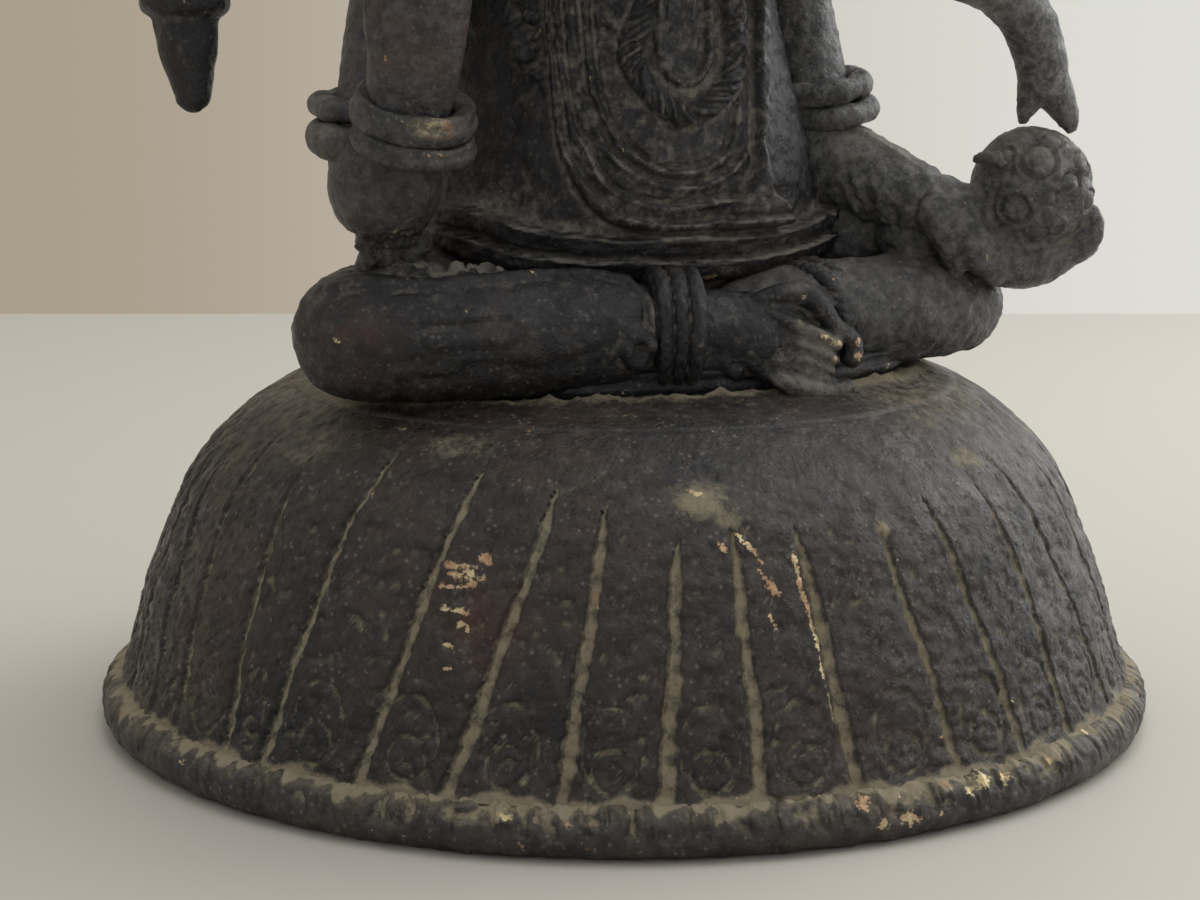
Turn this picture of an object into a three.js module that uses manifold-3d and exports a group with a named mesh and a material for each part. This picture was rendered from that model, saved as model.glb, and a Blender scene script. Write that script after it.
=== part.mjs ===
// Seated four-armed Ganesha in dark cast bronze, on a domed lotus base cast in one with the figure.
// Millimetres, +Z up. The figure looks along -Y, its right hand side is -X, and the origin is the
// centre of the underside.
import * as THREE from 'three';
import { mergeVertices } from 'three/addons/utils/BufferGeometryUtils.js';
import Module from 'manifold-3d';

const wasm = await Module();
wasm.setup();

// Lotus base: a rolled rim, a nearly straight petal wall and a rounded shoulder under a level top
const base = {
  footRadius: 56.4,
  rimRadius: 60,
  rimHeight: 5.4,
  creaseRadius: 57.7,
  wallSlope: 0.375,
  wallHeight: 25,
  shoulder: [[46.4, 32], [38.6, 37.8]],
  topHeight: 40,
};

// Petals: the grooves seen in front are uneven, as they were filed by hand; the rest are even
const petals = {
  frontGrooves: [-80, -71.5, -63, -52, -43, -35, -27.2, -17.8, -6.2, 4, 13.9, 24, 38.7, 47.2, 56, 70, 82],
  frontTurn: -20,
  backCount: 16,
  grooveWidth: 1.3,
  grooveDepth: 0.9,
  grooveTop: 33,
  grooveFade: 4,
};

// Low stub between the base and the crossed legs
const stub = { at: [-0.5, -5], half: [33.8, 23], foot: 34, top: 42.5 };

// Torso rows from hip to neck: height, half width, half depth, and how far back the centre lies
const torso = [
  { z: 43, wide: 23, deep: 16, back: 2 },
  { z: 50, wide: 24.4, deep: 19.4, back: 1 },
  { z: 57.4, wide: 23.8, deep: 20.4, back: 0.2 },
  { z: 66, wide: 22, deep: 20.2, back: 0.4 },
  { z: 75, wide: 19.6, deep: 17.8, back: 1 },
  { z: 84, wide: 19.5, deep: 14.5, back: 1.5 },
  { z: 91, wide: 19.6, deep: 11.6, back: 2 },
  { z: 95, wide: 16, deep: 9.8, back: 1.8 },
  { z: 100, wide: 9.5, deep: 8, back: 1 },
];

// Belts are ridges of the torso itself, a little lower in front
const belts = { from: 51, step: 2.1, count: 3, rise: 1, sag: 1.3 };

// Cords of the chest ornament, each a U that hangs over the belly
const strands = {
  count: 5,
  outerHalfWidth: 13.8,
  outerBottom: 57.9,
  widthStep: 1.8,
  bottomStep: 1.95,
  top: 86,
  thickness: 1.15,
  sink: 0.35,
};

const garland = { halfWidth: 6.2, bottom: 69.2, top: 86, thickness: 1.3, sink: -0.4 };
const pendant = { halfWidth: 3.2, bottom: 72.4, top: 84, thickness: 0.9, sink: -0.3 };

// Legs, crossed on the base, the right shin in front
const legs = {
  rightThigh: { path: [[-11, 7, 49], [-24, -3, 48], [-34.5, -11.5, 46.8]], radii: [10.5, 9.2, 6.8] },
  rightShin: {
    path: [[-34.8, -13.2, 46.2], [-26, -18.2, 46.2], [-14, -21, 46.1], [-3, -23, 46], [6, -24.6, 45.2]],
    radii: [7.1, 6.9, 6.3, 5.7, 4.7],
    collars: [{ from: 0.71, to: 0.9, lift: 0.95, ridges: 3 }],
  },
  leftThigh: { path: [[11, 7, 49], [24, -1, 48], [35, -8.5, 46.8]], radii: [10.5, 9, 6.2] },
  leftShin: {
    path: [[37, -10.5, 46.2], [28, -14.8, 46.4], [17, -18, 46.6], [6, -16, 46]],
    radii: [5, 5.8, 5.8, 5],
    collars: [{ from: 0.56, to: 0.72, lift: 1, ridges: 2 }],
  },
};

// The right foot stands on edge, its five toes as ridges one above the other
const foot = {
  path: [[11.6, -24.8, 49.6], [10.6, -25.4, 44.8], [9, -25.8, 40]],
  radii: [2.6, 4.7, 4.5],
  collars: [{ from: 0, to: 1, lift: 0.9, ridges: 5 }],
  stretch: [1.16, 0.68],
};

// Front right arm: elbow low beside the belly, forearm and open hand raised in blessing
const frontRightArm = {
  upper: {
    path: [[-20, 1, 91], [-27.8, -1.5, 80], [-31, -5.5, 70], [-32, -10.5, 61.5]],
    radii: [6.4, 4.9, 4.4, 5.4],
    collars: [{ from: 0.6, to: 0.84, lift: 1.7, ridges: 2 }],
  },
  elbow: { at: [-32, -12.4, 60.8], size: [6.1, 6.1, 6.3] },
  fore: {
    path: [[-31.6, -13.6, 62], [-30.4, -17.4, 70], [-29.6, -19.6, 80], [-29.2, -21, 91]],
    radii: [5.4, 4.9, 4.9, 3.4],
    collars: [{ from: 0.14, to: 0.37, lift: 2, ridges: 2 }],
  },
  strap: { path: [[-34, -21, 86], [-34.2, -20.8, 78], [-33.2, -20.8, 72.6]], radii: [1, 1.3, 1.4] },
  stay: { path: [[-34.4, -13, 57], [-35.6, -12.6, 51]], radii: [1.2, 1.4] },
};

const blessingHand = {
  palm: { at: [-29, -21.6, 95.4], size: [4.5, 2.2, 5.6] },
  fingers: 4,
  length: 8.4,
  radius: 1.2,
  step: 2.1,
  knuckles: [-29, -21.8, 98],
  thumb: { path: [[-25.6, -21.6, 94], [-23.2, -22.6, 97.4], [-22.8, -23, 100]], radii: [1.6, 1.3, 1] },
};

// Front left arm: forearm laid over the knee, the hand under a heap of sweets
const frontLeftArm = {
  upper: {
    path: [[20, 1, 91], [22, 0, 80], [22.6, -1.4, 70], [22.8, -3.2, 62]],
    radii: [6.4, 4.4, 4.4, 5.4],
    collars: [{ from: 0.6, to: 0.87, lift: 1.6, ridges: 2 }],
  },
  fore: {
    path: [[22.4, -3.2, 62.6], [28, -9, 59.6], [33.6, -14, 56.4], [38.6, -16.2, 55.2]],
    radii: [5.6, 5.8, 4.8, 4.6],
    collars: [{ from: 0.56, to: 0.86, lift: 1.1, ridges: 3 }],
  },
};

const sweets = {
  heap: { at: [43.4, -17, 58.6], size: [6.8, 6.8, 6.9] },
  cup: { at: [43.2, -16.8, 54.8], size: [7.3, 6.8, 6.7] },
  small: [
    { from: [-0.3, -3.9, 4.2], radius: 2.3 },
    { from: [-3, -4.9, 0.2], radius: 2.2 },
    { from: [2.9, -4.8, 1.6], radius: 1.7 },
  ],
};

// Rear arms: the right one brings its fist forward with the broken tusk, the left one lifts a bud
const rearRightArm = {
  upper: { path: [[-16, 5, 88], [-31, 6.5, 88.4], [-42, 6, 95.6]], radii: [6, 4.8, 4.6] },
  fore: {
    path: [[-42, 6, 95.6], [-48.4, 0, 92.6], [-51.2, -6.4, 86]],
    radii: [4.6, 4, 3.4],
    collars: [{ from: 0.6, to: 0.76, lift: 1.1, ridges: 1 }],
  },
};

// Four fingers closed round the tusk, which points down
const tuskHand = {
  path: [[-51.3, -8.2, 88.4], [-51.3, -8.8, 82], [-51.2, -9.4, 76], [-50.9, -9.8, 70]],
  radii: [3.4, 3.9, 3.3, 1.6],
  collars: [{ from: 0.02, to: 0.62, lift: 1.4, ridges: 4 }],
  stretch: [1.1, 0.95],
};

const rearLeftArm = {
  upper: { path: [[16, 5, 90], [31, 7, 94], [42, 6.5, 100.5]], radii: [6, 4.8, 4.5] },
  fore: {
    path: [[42, 6.5, 100.5], [46, 3, 109], [46.6, -1.5, 118]],
    radii: [4.5, 4, 3],
    collars: [{ from: 0.66, to: 0.8, lift: 1.1, ridges: 1 }],
  },
};

const budHand = {
  fist: {
    path: [[46.6, -2.6, 116], [46.6, -3.6, 126]],
    radii: [3, 3.6, 3],
    collars: [{ from: 0.2, to: 0.95, lift: 0.9, ridges: 4 }],
  },
  bud: { path: [[46.6, -3.6, 122], [46.2, -3.2, 138.4]], radii: [1.4, 1.4, 1.5, 3.9, 3.4, 0.8] },
};

// Head, with the trunk swung to the figure's left and curled down to the sweets
const head = {
  skull: { at: [0, -3, 108], size: [13.6, 13, 13.2] },
  brow: { at: [4.6, -9, 112.4], size: [6.6, 6.4, 5.8] },
  cheek: { at: [6, -9.4, 102.6], size: [6, 6.8, 6.8] },
  eye: { at: [7.6, -14.8, 107.4], size: [2.4, 1.4, 1.3] },
  trunk: {
    path: [
      [0, -12, 105], [0.6, -19, 98.6], [5, -22.8, 92], [14, -24.2, 87], [25, -23.2, 84],
      [35, -20.8, 83], [41.6, -18.8, 79.6], [44.1, -17.8, 73.6], [44.6, -17.2, 69],
    ],
    radii: [7, 6.5, 5.7, 4.9, 4.1, 3.5, 2.9, 2.6, 2.7],
  },
  lips: [
    { path: [[43.8, -17.2, 70], [42.8, -17.2, 67.4], [42.8, -17.2, 65.4]], radii: [2, 1.3, 0.9] },
    { path: [[45.2, -17.3, 70], [46.8, -17.4, 67.4], [47.8, -17.6, 64.6]], radii: [2.2, 1.7, 0.9] },
  ],
  leftTusk: { path: [[6, -13, 99], [8.6, -18, 96.2], [10.6, -22, 96]], radii: [2.1, 1.8, 0.8] },
  rightTusk: { path: [[-6, -13, 99], [-8.2, -17, 97]], radii: [2.1, 2] },
};

const ear = {
  at: [20.4, 0.5, 105.4],
  size: [11.5, 2.1, 14],
  turn: [6, 0, -16],
  lobes: 5,
  lobeDepth: 0.06,
  taper: 0.16,
};

const crown = {
  centreBack: -1,
  foot: [[11.4, 113], [13.4, 114.6], [13.4, 118.4], [12.2, 119.4]],
  tiers: 4,
  tierHeight: 6.4,
  tierLip: 0.7,
  topRadius: 3.4,
  knop: [[4.6, 148], [3.6, 151.6]],
  top: 156,
  jewel: { at: [0, -13.8, 119], size: [2.8, 1.6, 4] },
};

const necklace = { z: 92.6, half: 1.5, sag: 4, rise: 1.5 };

const bronze = new THREE.MeshStandardMaterial({ color: 0x3a3531, roughness: 0.55, metalness: 0.8 });

const degrees = Math.PI / 180;

// A closed solid from a geometry class: seams merged, and the pinched faces at the poles left out
function solid(geometry) {
  geometry.deleteAttribute('normal');
  geometry.deleteAttribute('uv');
  const merged = mergeVertices(geometry, 1e-4);
  const corners = merged.index.array;
  const kept = [];
  for (let i = 0; i < corners.length; i += 3) {
    const [a, b, c] = [corners[i], corners[i + 1], corners[i + 2]];
    if (a !== b && b !== c && c !== a) {
      kept.push(a, b, c);
    }
  }
  return new wasm.Manifold(new wasm.Mesh({
    numProp: 3,
    vertProperties: merged.getAttribute('position').array,
    triVerts: Uint32Array.from(kept),
  }));
}

function join(solids) {
  return solids.reduce((whole, piece) => whole.add(piece));
}

// An ellipsoid with its poles up and down
function ball({ at, size }, around = 10, down = 7) {
  const geometry = new THREE.SphereGeometry(1, around, down);
  geometry.rotateX(Math.PI / 2);
  geometry.scale(...size);
  geometry.translate(...at);
  return solid(geometry);
}

// A value read off a short list, evenly spaced along t = 0 to 1
function along(values, t) {
  const place = t * (values.length - 1);
  const step = Math.min(Math.floor(place), values.length - 2);
  return THREE.MathUtils.lerp(values[step], values[step + 1], place - step);
}

// Stations along a limb: even ones, and for each collar a row of ridges with grooves between; a
// ridge that stands alone is flat on top
function limbStations(radii, collars, rings) {
  const inside = (t) => collars.some(({ from, to }) => t > from - 0.02 && t < to + 0.02);
  const stations = [];
  for (let i = 0; i <= rings; i += 1) {
    if (i === 0 || i === rings || !inside(i / rings)) {
      stations.push({ t: i / rings, r: along(radii, i / rings) });
    }
  }
  for (const { from, to, lift, ridges } of collars) {
    const width = (to - from) / ridges;
    for (let i = 0; i <= ridges; i += 1) {
      const t = from + i * width;
      const groove = i === 0 || i === ridges ? 0 : 0.45 * lift;
      stations.push({ t, r: along(radii, t) + groove });
      const crests = ridges === 1 ? [0.2, 0.8] : [0.5];
      for (const share of i < ridges ? crests : []) {
        const crest = t + width * share;
        stations.push({ t: crest, r: along(radii, crest) + lift });
      }
    }
  }
  return stations.sort((a, b) => a.t - b.t);
}

// A round limb: the rings of a turned blank are carried along a smooth path, and each end is
// closed by a dome of a few rings, or by a plain cone where it is buried
function limb({ path, radii, collars = [], stretch = [1, 1] }, { sides, rings, ends, facing = [0.1, 0.2, 1] }) {
  const curve = new THREE.CatmullRomCurve3(path.map((point) => new THREE.Vector3(...point)), false, 'centripetal');
  const body = limbStations(radii, collars, rings).map((station) => ({ ...station, past: 0 }));
  const dome = (count, t, r, direction) => Array.from({ length: count }, (_, i) => {
    const lift = (i / count) * (Math.PI / 2);
    return { t, r: r * Math.sin(lift), past: direction * r * Math.cos(lift) };
  });
  const stations = [
    ...dome(ends[0], 0, radii[0], -1),
    ...body,
    ...dome(ends[1], 1, radii[radii.length - 1], 1).reverse(),
  ];
  const blank = new THREE.LatheGeometry(stations.map(({ r }, i) => new THREE.Vector2(r, i)), sides);
  const position = blank.getAttribute('position');
  const up = new THREE.Vector3(...facing);
  const frames = stations.map(({ t, past }) => {
    const tangent = curve.getTangentAt(t);
    up.addScaledVector(tangent, -up.dot(tangent)).normalize();
    const side = new THREE.Vector3().crossVectors(tangent, up);
    const centre = curve.getPointAt(t).addScaledVector(tangent, past);
    return { centre, side, up: up.clone() };
  });
  const moved = new THREE.Vector3();
  for (let i = 0; i < position.count; i += 1) {
    const frame = frames[Math.round(position.getY(i))];
    moved.copy(frame.centre);
    moved.addScaledVector(frame.side, position.getX(i) * stretch[0]);
    moved.addScaledVector(frame.up, position.getZ(i) * stretch[1]);
    position.setXYZ(i, moved.x, moved.y, moved.z);
  }
  return solid(blank);
}

// Base radius at a height, below the shoulder
function wallRadius(z) {
  return base.creaseRadius - base.wallSlope * (z - base.rimHeight);
}

// Directions of all the grooves, in degrees round the base from straight in front
function grooveDirections() {
  const front = petals.frontGrooves.map((angle) => angle + petals.frontTurn);
  const from = front[front.length - 1];
  const span = 360 - (from - front[0]);
  const back = Array.from({ length: petals.backCount - 1 }, (_, i) => from + (span * (i + 1)) / petals.backCount);
  return [...front, ...back];
}

// The base is turned from one profile, with three columns of points to a petal: one in the groove
// and one on each lip of the petal
function lotusBase() {
  const profile = [
    [0, 0],
    [base.footRadius, 0],
    [base.rimRadius, base.rimHeight / 2],
    [base.creaseRadius, base.rimHeight],
    [wallRadius(base.wallHeight), base.wallHeight],
    ...base.shoulder,
    [0, base.topHeight],
  ];
  const grooves = grooveDirections();
  const columns = grooves.length * 3;
  const lathe = new THREE.LatheGeometry(profile.map(([r, z]) => new THREE.Vector2(r, z)), columns);
  const position = lathe.getAttribute('position');
  for (let i = 0; i < position.count; i += 1) {
    const column = Math.floor(i / profile.length) % columns;
    const [radius, z] = profile[i % profile.length];
    const petal = Math.floor(column / 3);
    const here = grooves[petal];
    const next = petal + 1 < grooves.length ? grooves[petal + 1] : grooves[0] + 360;
    const lip = petals.grooveWidth / 2 / Math.max(radius, 1) / degrees;
    const angle = [here, here + lip, next - lip][column % 3] * degrees;
    const open = z > base.rimHeight ? THREE.MathUtils.clamp((petals.grooveTop - z) / petals.grooveFade, 0, 1) : 0;
    const r = column % 3 === 0 ? radius - petals.grooveDepth * open : radius;
    position.setXYZ(i, r * Math.sin(angle), -r * Math.cos(angle), z);
  }
  return solid(lathe);
}

function stubUnderLegs() {
  const slab = new THREE.CylinderGeometry(1, 1, stub.top - stub.foot, 16);
  slab.rotateX(Math.PI / 2);
  slab.scale(stub.half[0], stub.half[1], 1);
  slab.translate(...stub.at, (stub.top + stub.foot) / 2);
  return solid(slab);
}

// Torso section at a height, read between the listed ones
function sectionAt(z) {
  const found = torso.findIndex((section) => section.z >= z);
  const above = found < 1 ? torso.length - 1 : found;
  const [low, high] = [torso[above - 1], torso[above]];
  const share = THREE.MathUtils.clamp((z - low.z) / (high.z - low.z), 0, 1);
  const read = (name) => THREE.MathUtils.lerp(low[name], high[name], share);
  return z <= torso[0].z ? torso[0] : { wide: read('wide'), deep: read('deep'), back: read('back') };
}

// How far forward the front of the torso is, at a place across and a height
function chestFront(x, z) {
  const { wide, deep, back } = sectionAt(z);
  return back - deep * Math.sqrt(Math.max(0.05, 1 - (x / wide) ** 2));
}

// Heights of the torso rings, those of the belts and the necklace standing proud of the rest
function torsoRows() {
  const beltTop = belts.from + belts.count * belts.step;
  const clear = ({ z }) => (z < belts.from || z > beltTop) && Math.abs(z - necklace.z) > necklace.half;
  const rows = torso.filter(clear).map(({ z }) => ({ z, rise: 0, sag: 0 }));
  for (let i = 0; i <= belts.count * 2; i += 1) {
    rows.push({ z: belts.from + (i * belts.step) / 2, rise: i % 2 === 1 ? belts.rise : 0, sag: belts.sag });
  }
  for (const step of [-1, 0, 1]) {
    const rise = step === 0 ? necklace.rise : 0;
    rows.push({ z: necklace.z + step * necklace.half, rise, sag: necklace.sag });
  }
  return rows.sort((a, b) => a.z - b.z);
}

function torsoBody() {
  const rows = torsoRows();
  const ends = [{ ...rows[0], end: true }, ...rows, { ...rows[rows.length - 1], end: true }];
  const lathe = new THREE.LatheGeometry(ends.map(({ end }, i) => new THREE.Vector2(end ? 0 : 1, i)), 18);
  const position = lathe.getAttribute('position');
  for (let i = 0; i < position.count; i += 1) {
    const { z, rise, sag } = ends[Math.round(position.getY(i))];
    const [across, forward] = [position.getX(i), position.getZ(i)];
    const { wide, deep, back } = sectionAt(z);
    const x = across * (wide + rise);
    const y = back - forward * (deep + rise);
    position.setXYZ(i, x, y, z - (sag * (1 + forward)) / 2);
  }
  return solid(lathe);
}

// A cord hung on the chest: down one side, round the bottom and up the other
function hangingCord({ halfWidth, bottom, top, thickness, sink }, rings, sides) {
  const bend = bottom + halfWidth * 1.05;
  const turns = 6;
  const outline = [[-halfWidth, top], [-halfWidth, (top + bend) / 2]];
  for (let i = 0; i <= turns; i += 1) {
    const angle = (i / turns) * Math.PI;
    outline.push([-halfWidth * Math.cos(angle), bend - (bend - bottom) * Math.sin(angle)]);
  }
  outline.push([halfWidth, (top + bend) / 2], [halfWidth, top]);
  const path = outline.map(([x, z]) => [x, chestFront(x, z) + sink, z]);
  return limb({ path, radii: [thickness, thickness] }, { sides, rings, ends: [1, 1], facing: [0, -1, 0.1] });
}

function chestOrnaments() {
  const cords = Array.from({ length: strands.count }, (_, i) => hangingCord({
    ...strands,
    halfWidth: strands.outerHalfWidth - i * strands.widthStep,
    bottom: strands.outerBottom + i * strands.bottomStep,
  }, 12, 3));
  return join([...cords, hangingCord(garland, 10, 4), hangingCord(pendant, 8, 3)]);
}

function crossedLegs() {
  return join([
    stubUnderLegs(),
    limb(legs.rightThigh, { sides: 9, rings: 2, ends: [1, 1] }),
    limb(legs.leftThigh, { sides: 9, rings: 2, ends: [1, 1] }),
    limb(legs.rightShin, { sides: 10, rings: 5, ends: [2, 1] }),
    limb(legs.leftShin, { sides: 9, rings: 4, ends: [2, 1] }),
    limb(foot, { sides: 8, rings: 1, ends: [1, 1], facing: [0, -1, 0] }),
  ]);
}

function rightFrontArm() {
  const { palm, fingers, length, radius, step, knuckles, thumb } = blessingHand;
  const [x, y, z] = knuckles;
  const raised = Array.from({ length: fingers }, (_, i) => {
    const across = x + (i - (fingers - 1) / 2) * step;
    const tip = z + length * (1 - 0.09 * Math.abs(i - 1.2));
    return limb({ path: [[across, y + 0.3, z - 2], [across, y - 0.6, tip]], radii: [radius, radius * 0.85] },
      { sides: 5, rings: 1, ends: [1, 1] });
  });
  return join([
    limb(frontRightArm.upper, { sides: 8, rings: 4, ends: [1, 1] }),
    ball(frontRightArm.elbow, 9, 5),
    limb(frontRightArm.fore, { sides: 9, rings: 4, ends: [1, 1] }),
    limb(frontRightArm.strap, { sides: 4, rings: 2, ends: [1, 1] }),
    limb(frontRightArm.stay, { sides: 4, rings: 1, ends: [1, 1] }),
    ball(palm, 8, 5),
    ...raised,
    limb(thumb, { sides: 5, rings: 2, ends: [1, 1] }),
  ]);
}

// Sweets in the left hand: a round heap with small ones set on its front
function heapOfSweets() {
  const { heap, small } = sweets;
  return join([ball(heap, 12, 7), ...small.map(({ from, radius }) => {
    const at = heap.at.map((value, i) => value + from[i]);
    return ball({ at, size: [radius, radius, radius] }, 6, 4);
  })]);
}

function leftFrontArm() {
  return join([
    limb(frontLeftArm.upper, { sides: 8, rings: 4, ends: [1, 1] }),
    limb(frontLeftArm.fore, { sides: 8, rings: 4, ends: [1, 1] }),
    ball(sweets.cup, 10, 5),
    heapOfSweets(),
  ]);
}

function rightRearArm() {
  return join([
    limb(rearRightArm.upper, { sides: 8, rings: 3, ends: [1, 1] }),
    limb(rearRightArm.fore, { sides: 8, rings: 3, ends: [2, 1] }),
    limb(tuskHand, { sides: 8, rings: 4, ends: [1, 2] }),
  ]);
}

function leftRearArm() {
  return join([
    limb(rearLeftArm.upper, { sides: 8, rings: 3, ends: [1, 1] }),
    limb(rearLeftArm.fore, { sides: 8, rings: 3, ends: [2, 1] }),
    limb(budHand.fist, { sides: 8, rings: 2, ends: [1, 1] }),
    limb(budHand.bud, { sides: 7, rings: 5, ends: [1, 1] }),
  ]);
}

// An ear is a thin fan, its outline waved by a few lobes and wider at the top
function earFan(side) {
  const geometry = new THREE.SphereGeometry(1, 10, 5);
  geometry.rotateX(Math.PI / 2);
  const position = geometry.getAttribute('position');
  for (let i = 0; i < position.count; i += 1) {
    const [x, y, z] = [position.getX(i), position.getY(i), position.getZ(i)];
    const wave = 1 + ear.lobeDepth * Math.cos(ear.lobes * Math.atan2(z, x * side));
    position.setXYZ(i, x * wave * (1 + ear.taper * z), y, z * wave);
  }
  const [tiltX, tiltY, tiltZ] = ear.turn;
  geometry.scale(...ear.size);
  geometry.rotateX(tiltX * degrees);
  geometry.rotateY(tiltY * side * degrees);
  geometry.rotateZ(tiltZ * side * degrees);
  geometry.translate(ear.at[0] * side, ear.at[1], ear.at[2]);
  return solid(geometry);
}

// The crown is turned: a head band, tiers that narrow upwards, each under a small lip, and a knop
function tallCrown() {
  const [, , , [footRadius, footTop]] = crown.foot;
  const outline = [[0, crown.foot[0][1]], ...crown.foot];
  for (let i = 1; i <= crown.tiers; i += 1) {
    const r = THREE.MathUtils.lerp(footRadius, crown.topRadius, i / crown.tiers);
    const z = footTop + i * crown.tierHeight;
    outline.push([r, z - crown.tierHeight * 0.35], [r + crown.tierLip, z]);
  }
  outline.push(...crown.knop, [0, crown.top]);
  const lathe = new THREE.LatheGeometry(outline.map(([r, z]) => new THREE.Vector2(r, z)), 12);
  lathe.rotateX(Math.PI / 2);
  lathe.translate(0, crown.centreBack, 0);
  return solid(lathe);
}

function mirrored({ at, size }, side) {
  return { at: [at[0] * side, at[1], at[2]], size };
}

function elephantHead() {
  const bothSides = [-1, 1].flatMap((side) => [
    ball(mirrored(head.brow, side), 7, 4),
    ball(mirrored(head.cheek, side), 7, 4),
    ball(mirrored(head.eye, side), 6, 3),
    earFan(side),
  ]);
  return join([
    ball(head.skull, 10, 6),
    limb(head.trunk, { sides: 8, rings: 11, ends: [1, 1] }),
    ...head.lips.map((lip) => limb(lip, { sides: 5, rings: 1, ends: [1, 1] })),
    limb(head.leftTusk, { sides: 5, rings: 2, ends: [1, 1] }),
    limb(head.rightTusk, { sides: 5, rings: 1, ends: [1, 1] }),
    tallCrown(),
    ball(crown.jewel, 6, 3),
    ...bothSides,
  ]);
}

const whole = join([
  lotusBase(),
  crossedLegs(),
  torsoBody(),
  chestOrnaments(),
  rightFrontArm(),
  leftFrontArm(),
  rightRearArm(),
  leftRearArm(),
  elephantHead(),
]);

const mesh = whole.getMesh();
const geometry = new THREE.BufferGeometry();
geometry.setAttribute('position', new THREE.BufferAttribute(new Float32Array(mesh.vertProperties), 3));
geometry.setIndex(new THREE.BufferAttribute(new Uint32Array(mesh.triVerts), 1));
geometry.computeVertexNormals();

const figure = new THREE.Mesh(geometry, bronze);
figure.name = 'ganesha_figure';

const object = new THREE.Group();
object.add(figure);

export default object;
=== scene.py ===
import math

import bpy
import numpy as np
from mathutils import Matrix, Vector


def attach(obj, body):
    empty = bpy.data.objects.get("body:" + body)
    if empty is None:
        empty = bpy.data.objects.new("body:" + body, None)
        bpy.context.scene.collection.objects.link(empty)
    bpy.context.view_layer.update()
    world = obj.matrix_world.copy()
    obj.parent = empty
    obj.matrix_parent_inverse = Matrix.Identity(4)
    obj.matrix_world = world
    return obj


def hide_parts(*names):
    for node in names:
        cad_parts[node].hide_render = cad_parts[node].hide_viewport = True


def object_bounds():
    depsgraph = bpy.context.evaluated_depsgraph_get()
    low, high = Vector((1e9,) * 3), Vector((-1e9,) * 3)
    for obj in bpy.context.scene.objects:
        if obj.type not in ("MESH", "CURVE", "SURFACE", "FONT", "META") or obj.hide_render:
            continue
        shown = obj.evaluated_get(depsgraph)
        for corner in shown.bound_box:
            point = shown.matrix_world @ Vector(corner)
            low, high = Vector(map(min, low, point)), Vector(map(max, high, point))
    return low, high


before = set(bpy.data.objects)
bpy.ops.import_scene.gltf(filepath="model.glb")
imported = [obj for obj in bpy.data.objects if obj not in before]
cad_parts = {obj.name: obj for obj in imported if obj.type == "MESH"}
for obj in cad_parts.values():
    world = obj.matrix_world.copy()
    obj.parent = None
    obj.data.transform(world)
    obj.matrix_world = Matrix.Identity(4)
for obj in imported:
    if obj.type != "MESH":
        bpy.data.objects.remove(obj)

# Cast bronze seated figure on a domed lotus base. Shapes are worked out in millimetres, in the
# frame's own axes: +Z up, the figure looks along -Y, and its left side is +X.
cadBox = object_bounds()
figureNode = "ganesha_figure"
degrees = math.pi / 180


# Numbers and noise

def ease(low, high, value):
    # 0 below low, 1 above high, smooth between
    t = np.clip((value - low) / (high - low), 0, 1)
    return t * t * (3 - 2 * t)


def roundRidge(distance, halfWidth):
    # half a circle: 1 on the line, 0 at halfWidth from it
    return np.sqrt(np.clip(1 - (distance / halfWidth) ** 2, 0, 1))


def softRidge(distance, halfWidth):
    # cosine bell: 1 on the line, 0 at halfWidth from it
    return 0.5 + 0.5 * np.cos(np.pi * np.clip(np.abs(distance) / halfWidth, 0, 1))


def latticeNoise(points, size, seed):
    # random numbers on a cubic lattice, blended smoothly between its corners, from -1 to 1
    place = points / size + seed * 17.31
    cell = np.floor(place)
    part = place - cell
    part = part * part * (3 - 2 * part)
    total = np.zeros(points.shape[:-1])
    for corner in range(8):
        step = np.array([corner & 1, corner >> 1 & 1, corner >> 2 & 1])
        weight = np.prod(np.where(step, part, 1 - part), axis=-1)
        value = np.sin((cell + step) @ np.array([127.1, 311.7, 74.7])) * 43758.5453
        total += weight * (value - np.floor(value))
    return total * 2 - 1


def castNoise(points, size, seed, layers=3):
    # lattice noise in layers, each half the size and a bit over half the strength of the last
    return sum(latticeNoise(points, size / 2 ** i, seed + i) * 0.55 ** i for i in range(layers))


def splineThrough(places, values, at):
    # natural cubic spline: its second differences solve one three-banded system
    values = np.asarray(values, float)
    count = len(places)
    gaps = np.diff(places)
    slopes = np.diff(values, axis=0) / gaps.reshape(-1, *[1] * (values.ndim - 1))
    system = np.eye(count)
    right = np.zeros_like(values)
    for i in range(1, count - 1):
        system[i, i - 1:i + 2] = gaps[i - 1], 2 * (gaps[i - 1] + gaps[i]), gaps[i]
        right[i] = 6 * (slopes[i] - slopes[i - 1])
    bends = np.linalg.solve(system, right)
    k = np.clip(np.searchsorted(places, at) - 1, 0, count - 2)
    shape = (-1, *[1] * (values.ndim - 1))
    h = gaps[k].reshape(shape)
    a = (places[k + 1] - at).reshape(shape) / h
    b = 1 - a
    curve = a * values[k] + b * values[k + 1]
    return curve + ((a ** 3 - a) * bends[k] + (b ** 3 - b) * bends[k + 1]) * h ** 2 / 6


def smoothPath(points, t):
    # the spline through the points, read at the shares t of its length
    points = np.asarray(points, float)
    places = np.r_[0, np.cumsum(np.sqrt(np.linalg.norm(np.diff(points, axis=0), axis=1)))]
    dense = np.linspace(0, places[-1], 600)
    curve = splineThrough(places, points, dense)
    length = np.r_[0, np.cumsum(np.linalg.norm(np.diff(curve, axis=0), axis=1))]
    return splineThrough(places, points, np.interp(t * length[-1], length, dense))


def smoothValues(values, t):
    values = np.asarray(values, float)
    if len(values) == 2:
        return values[0] + (values[1] - values[0]) * t
    return splineThrough(np.linspace(0, 1, len(values)), values, t)


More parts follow.
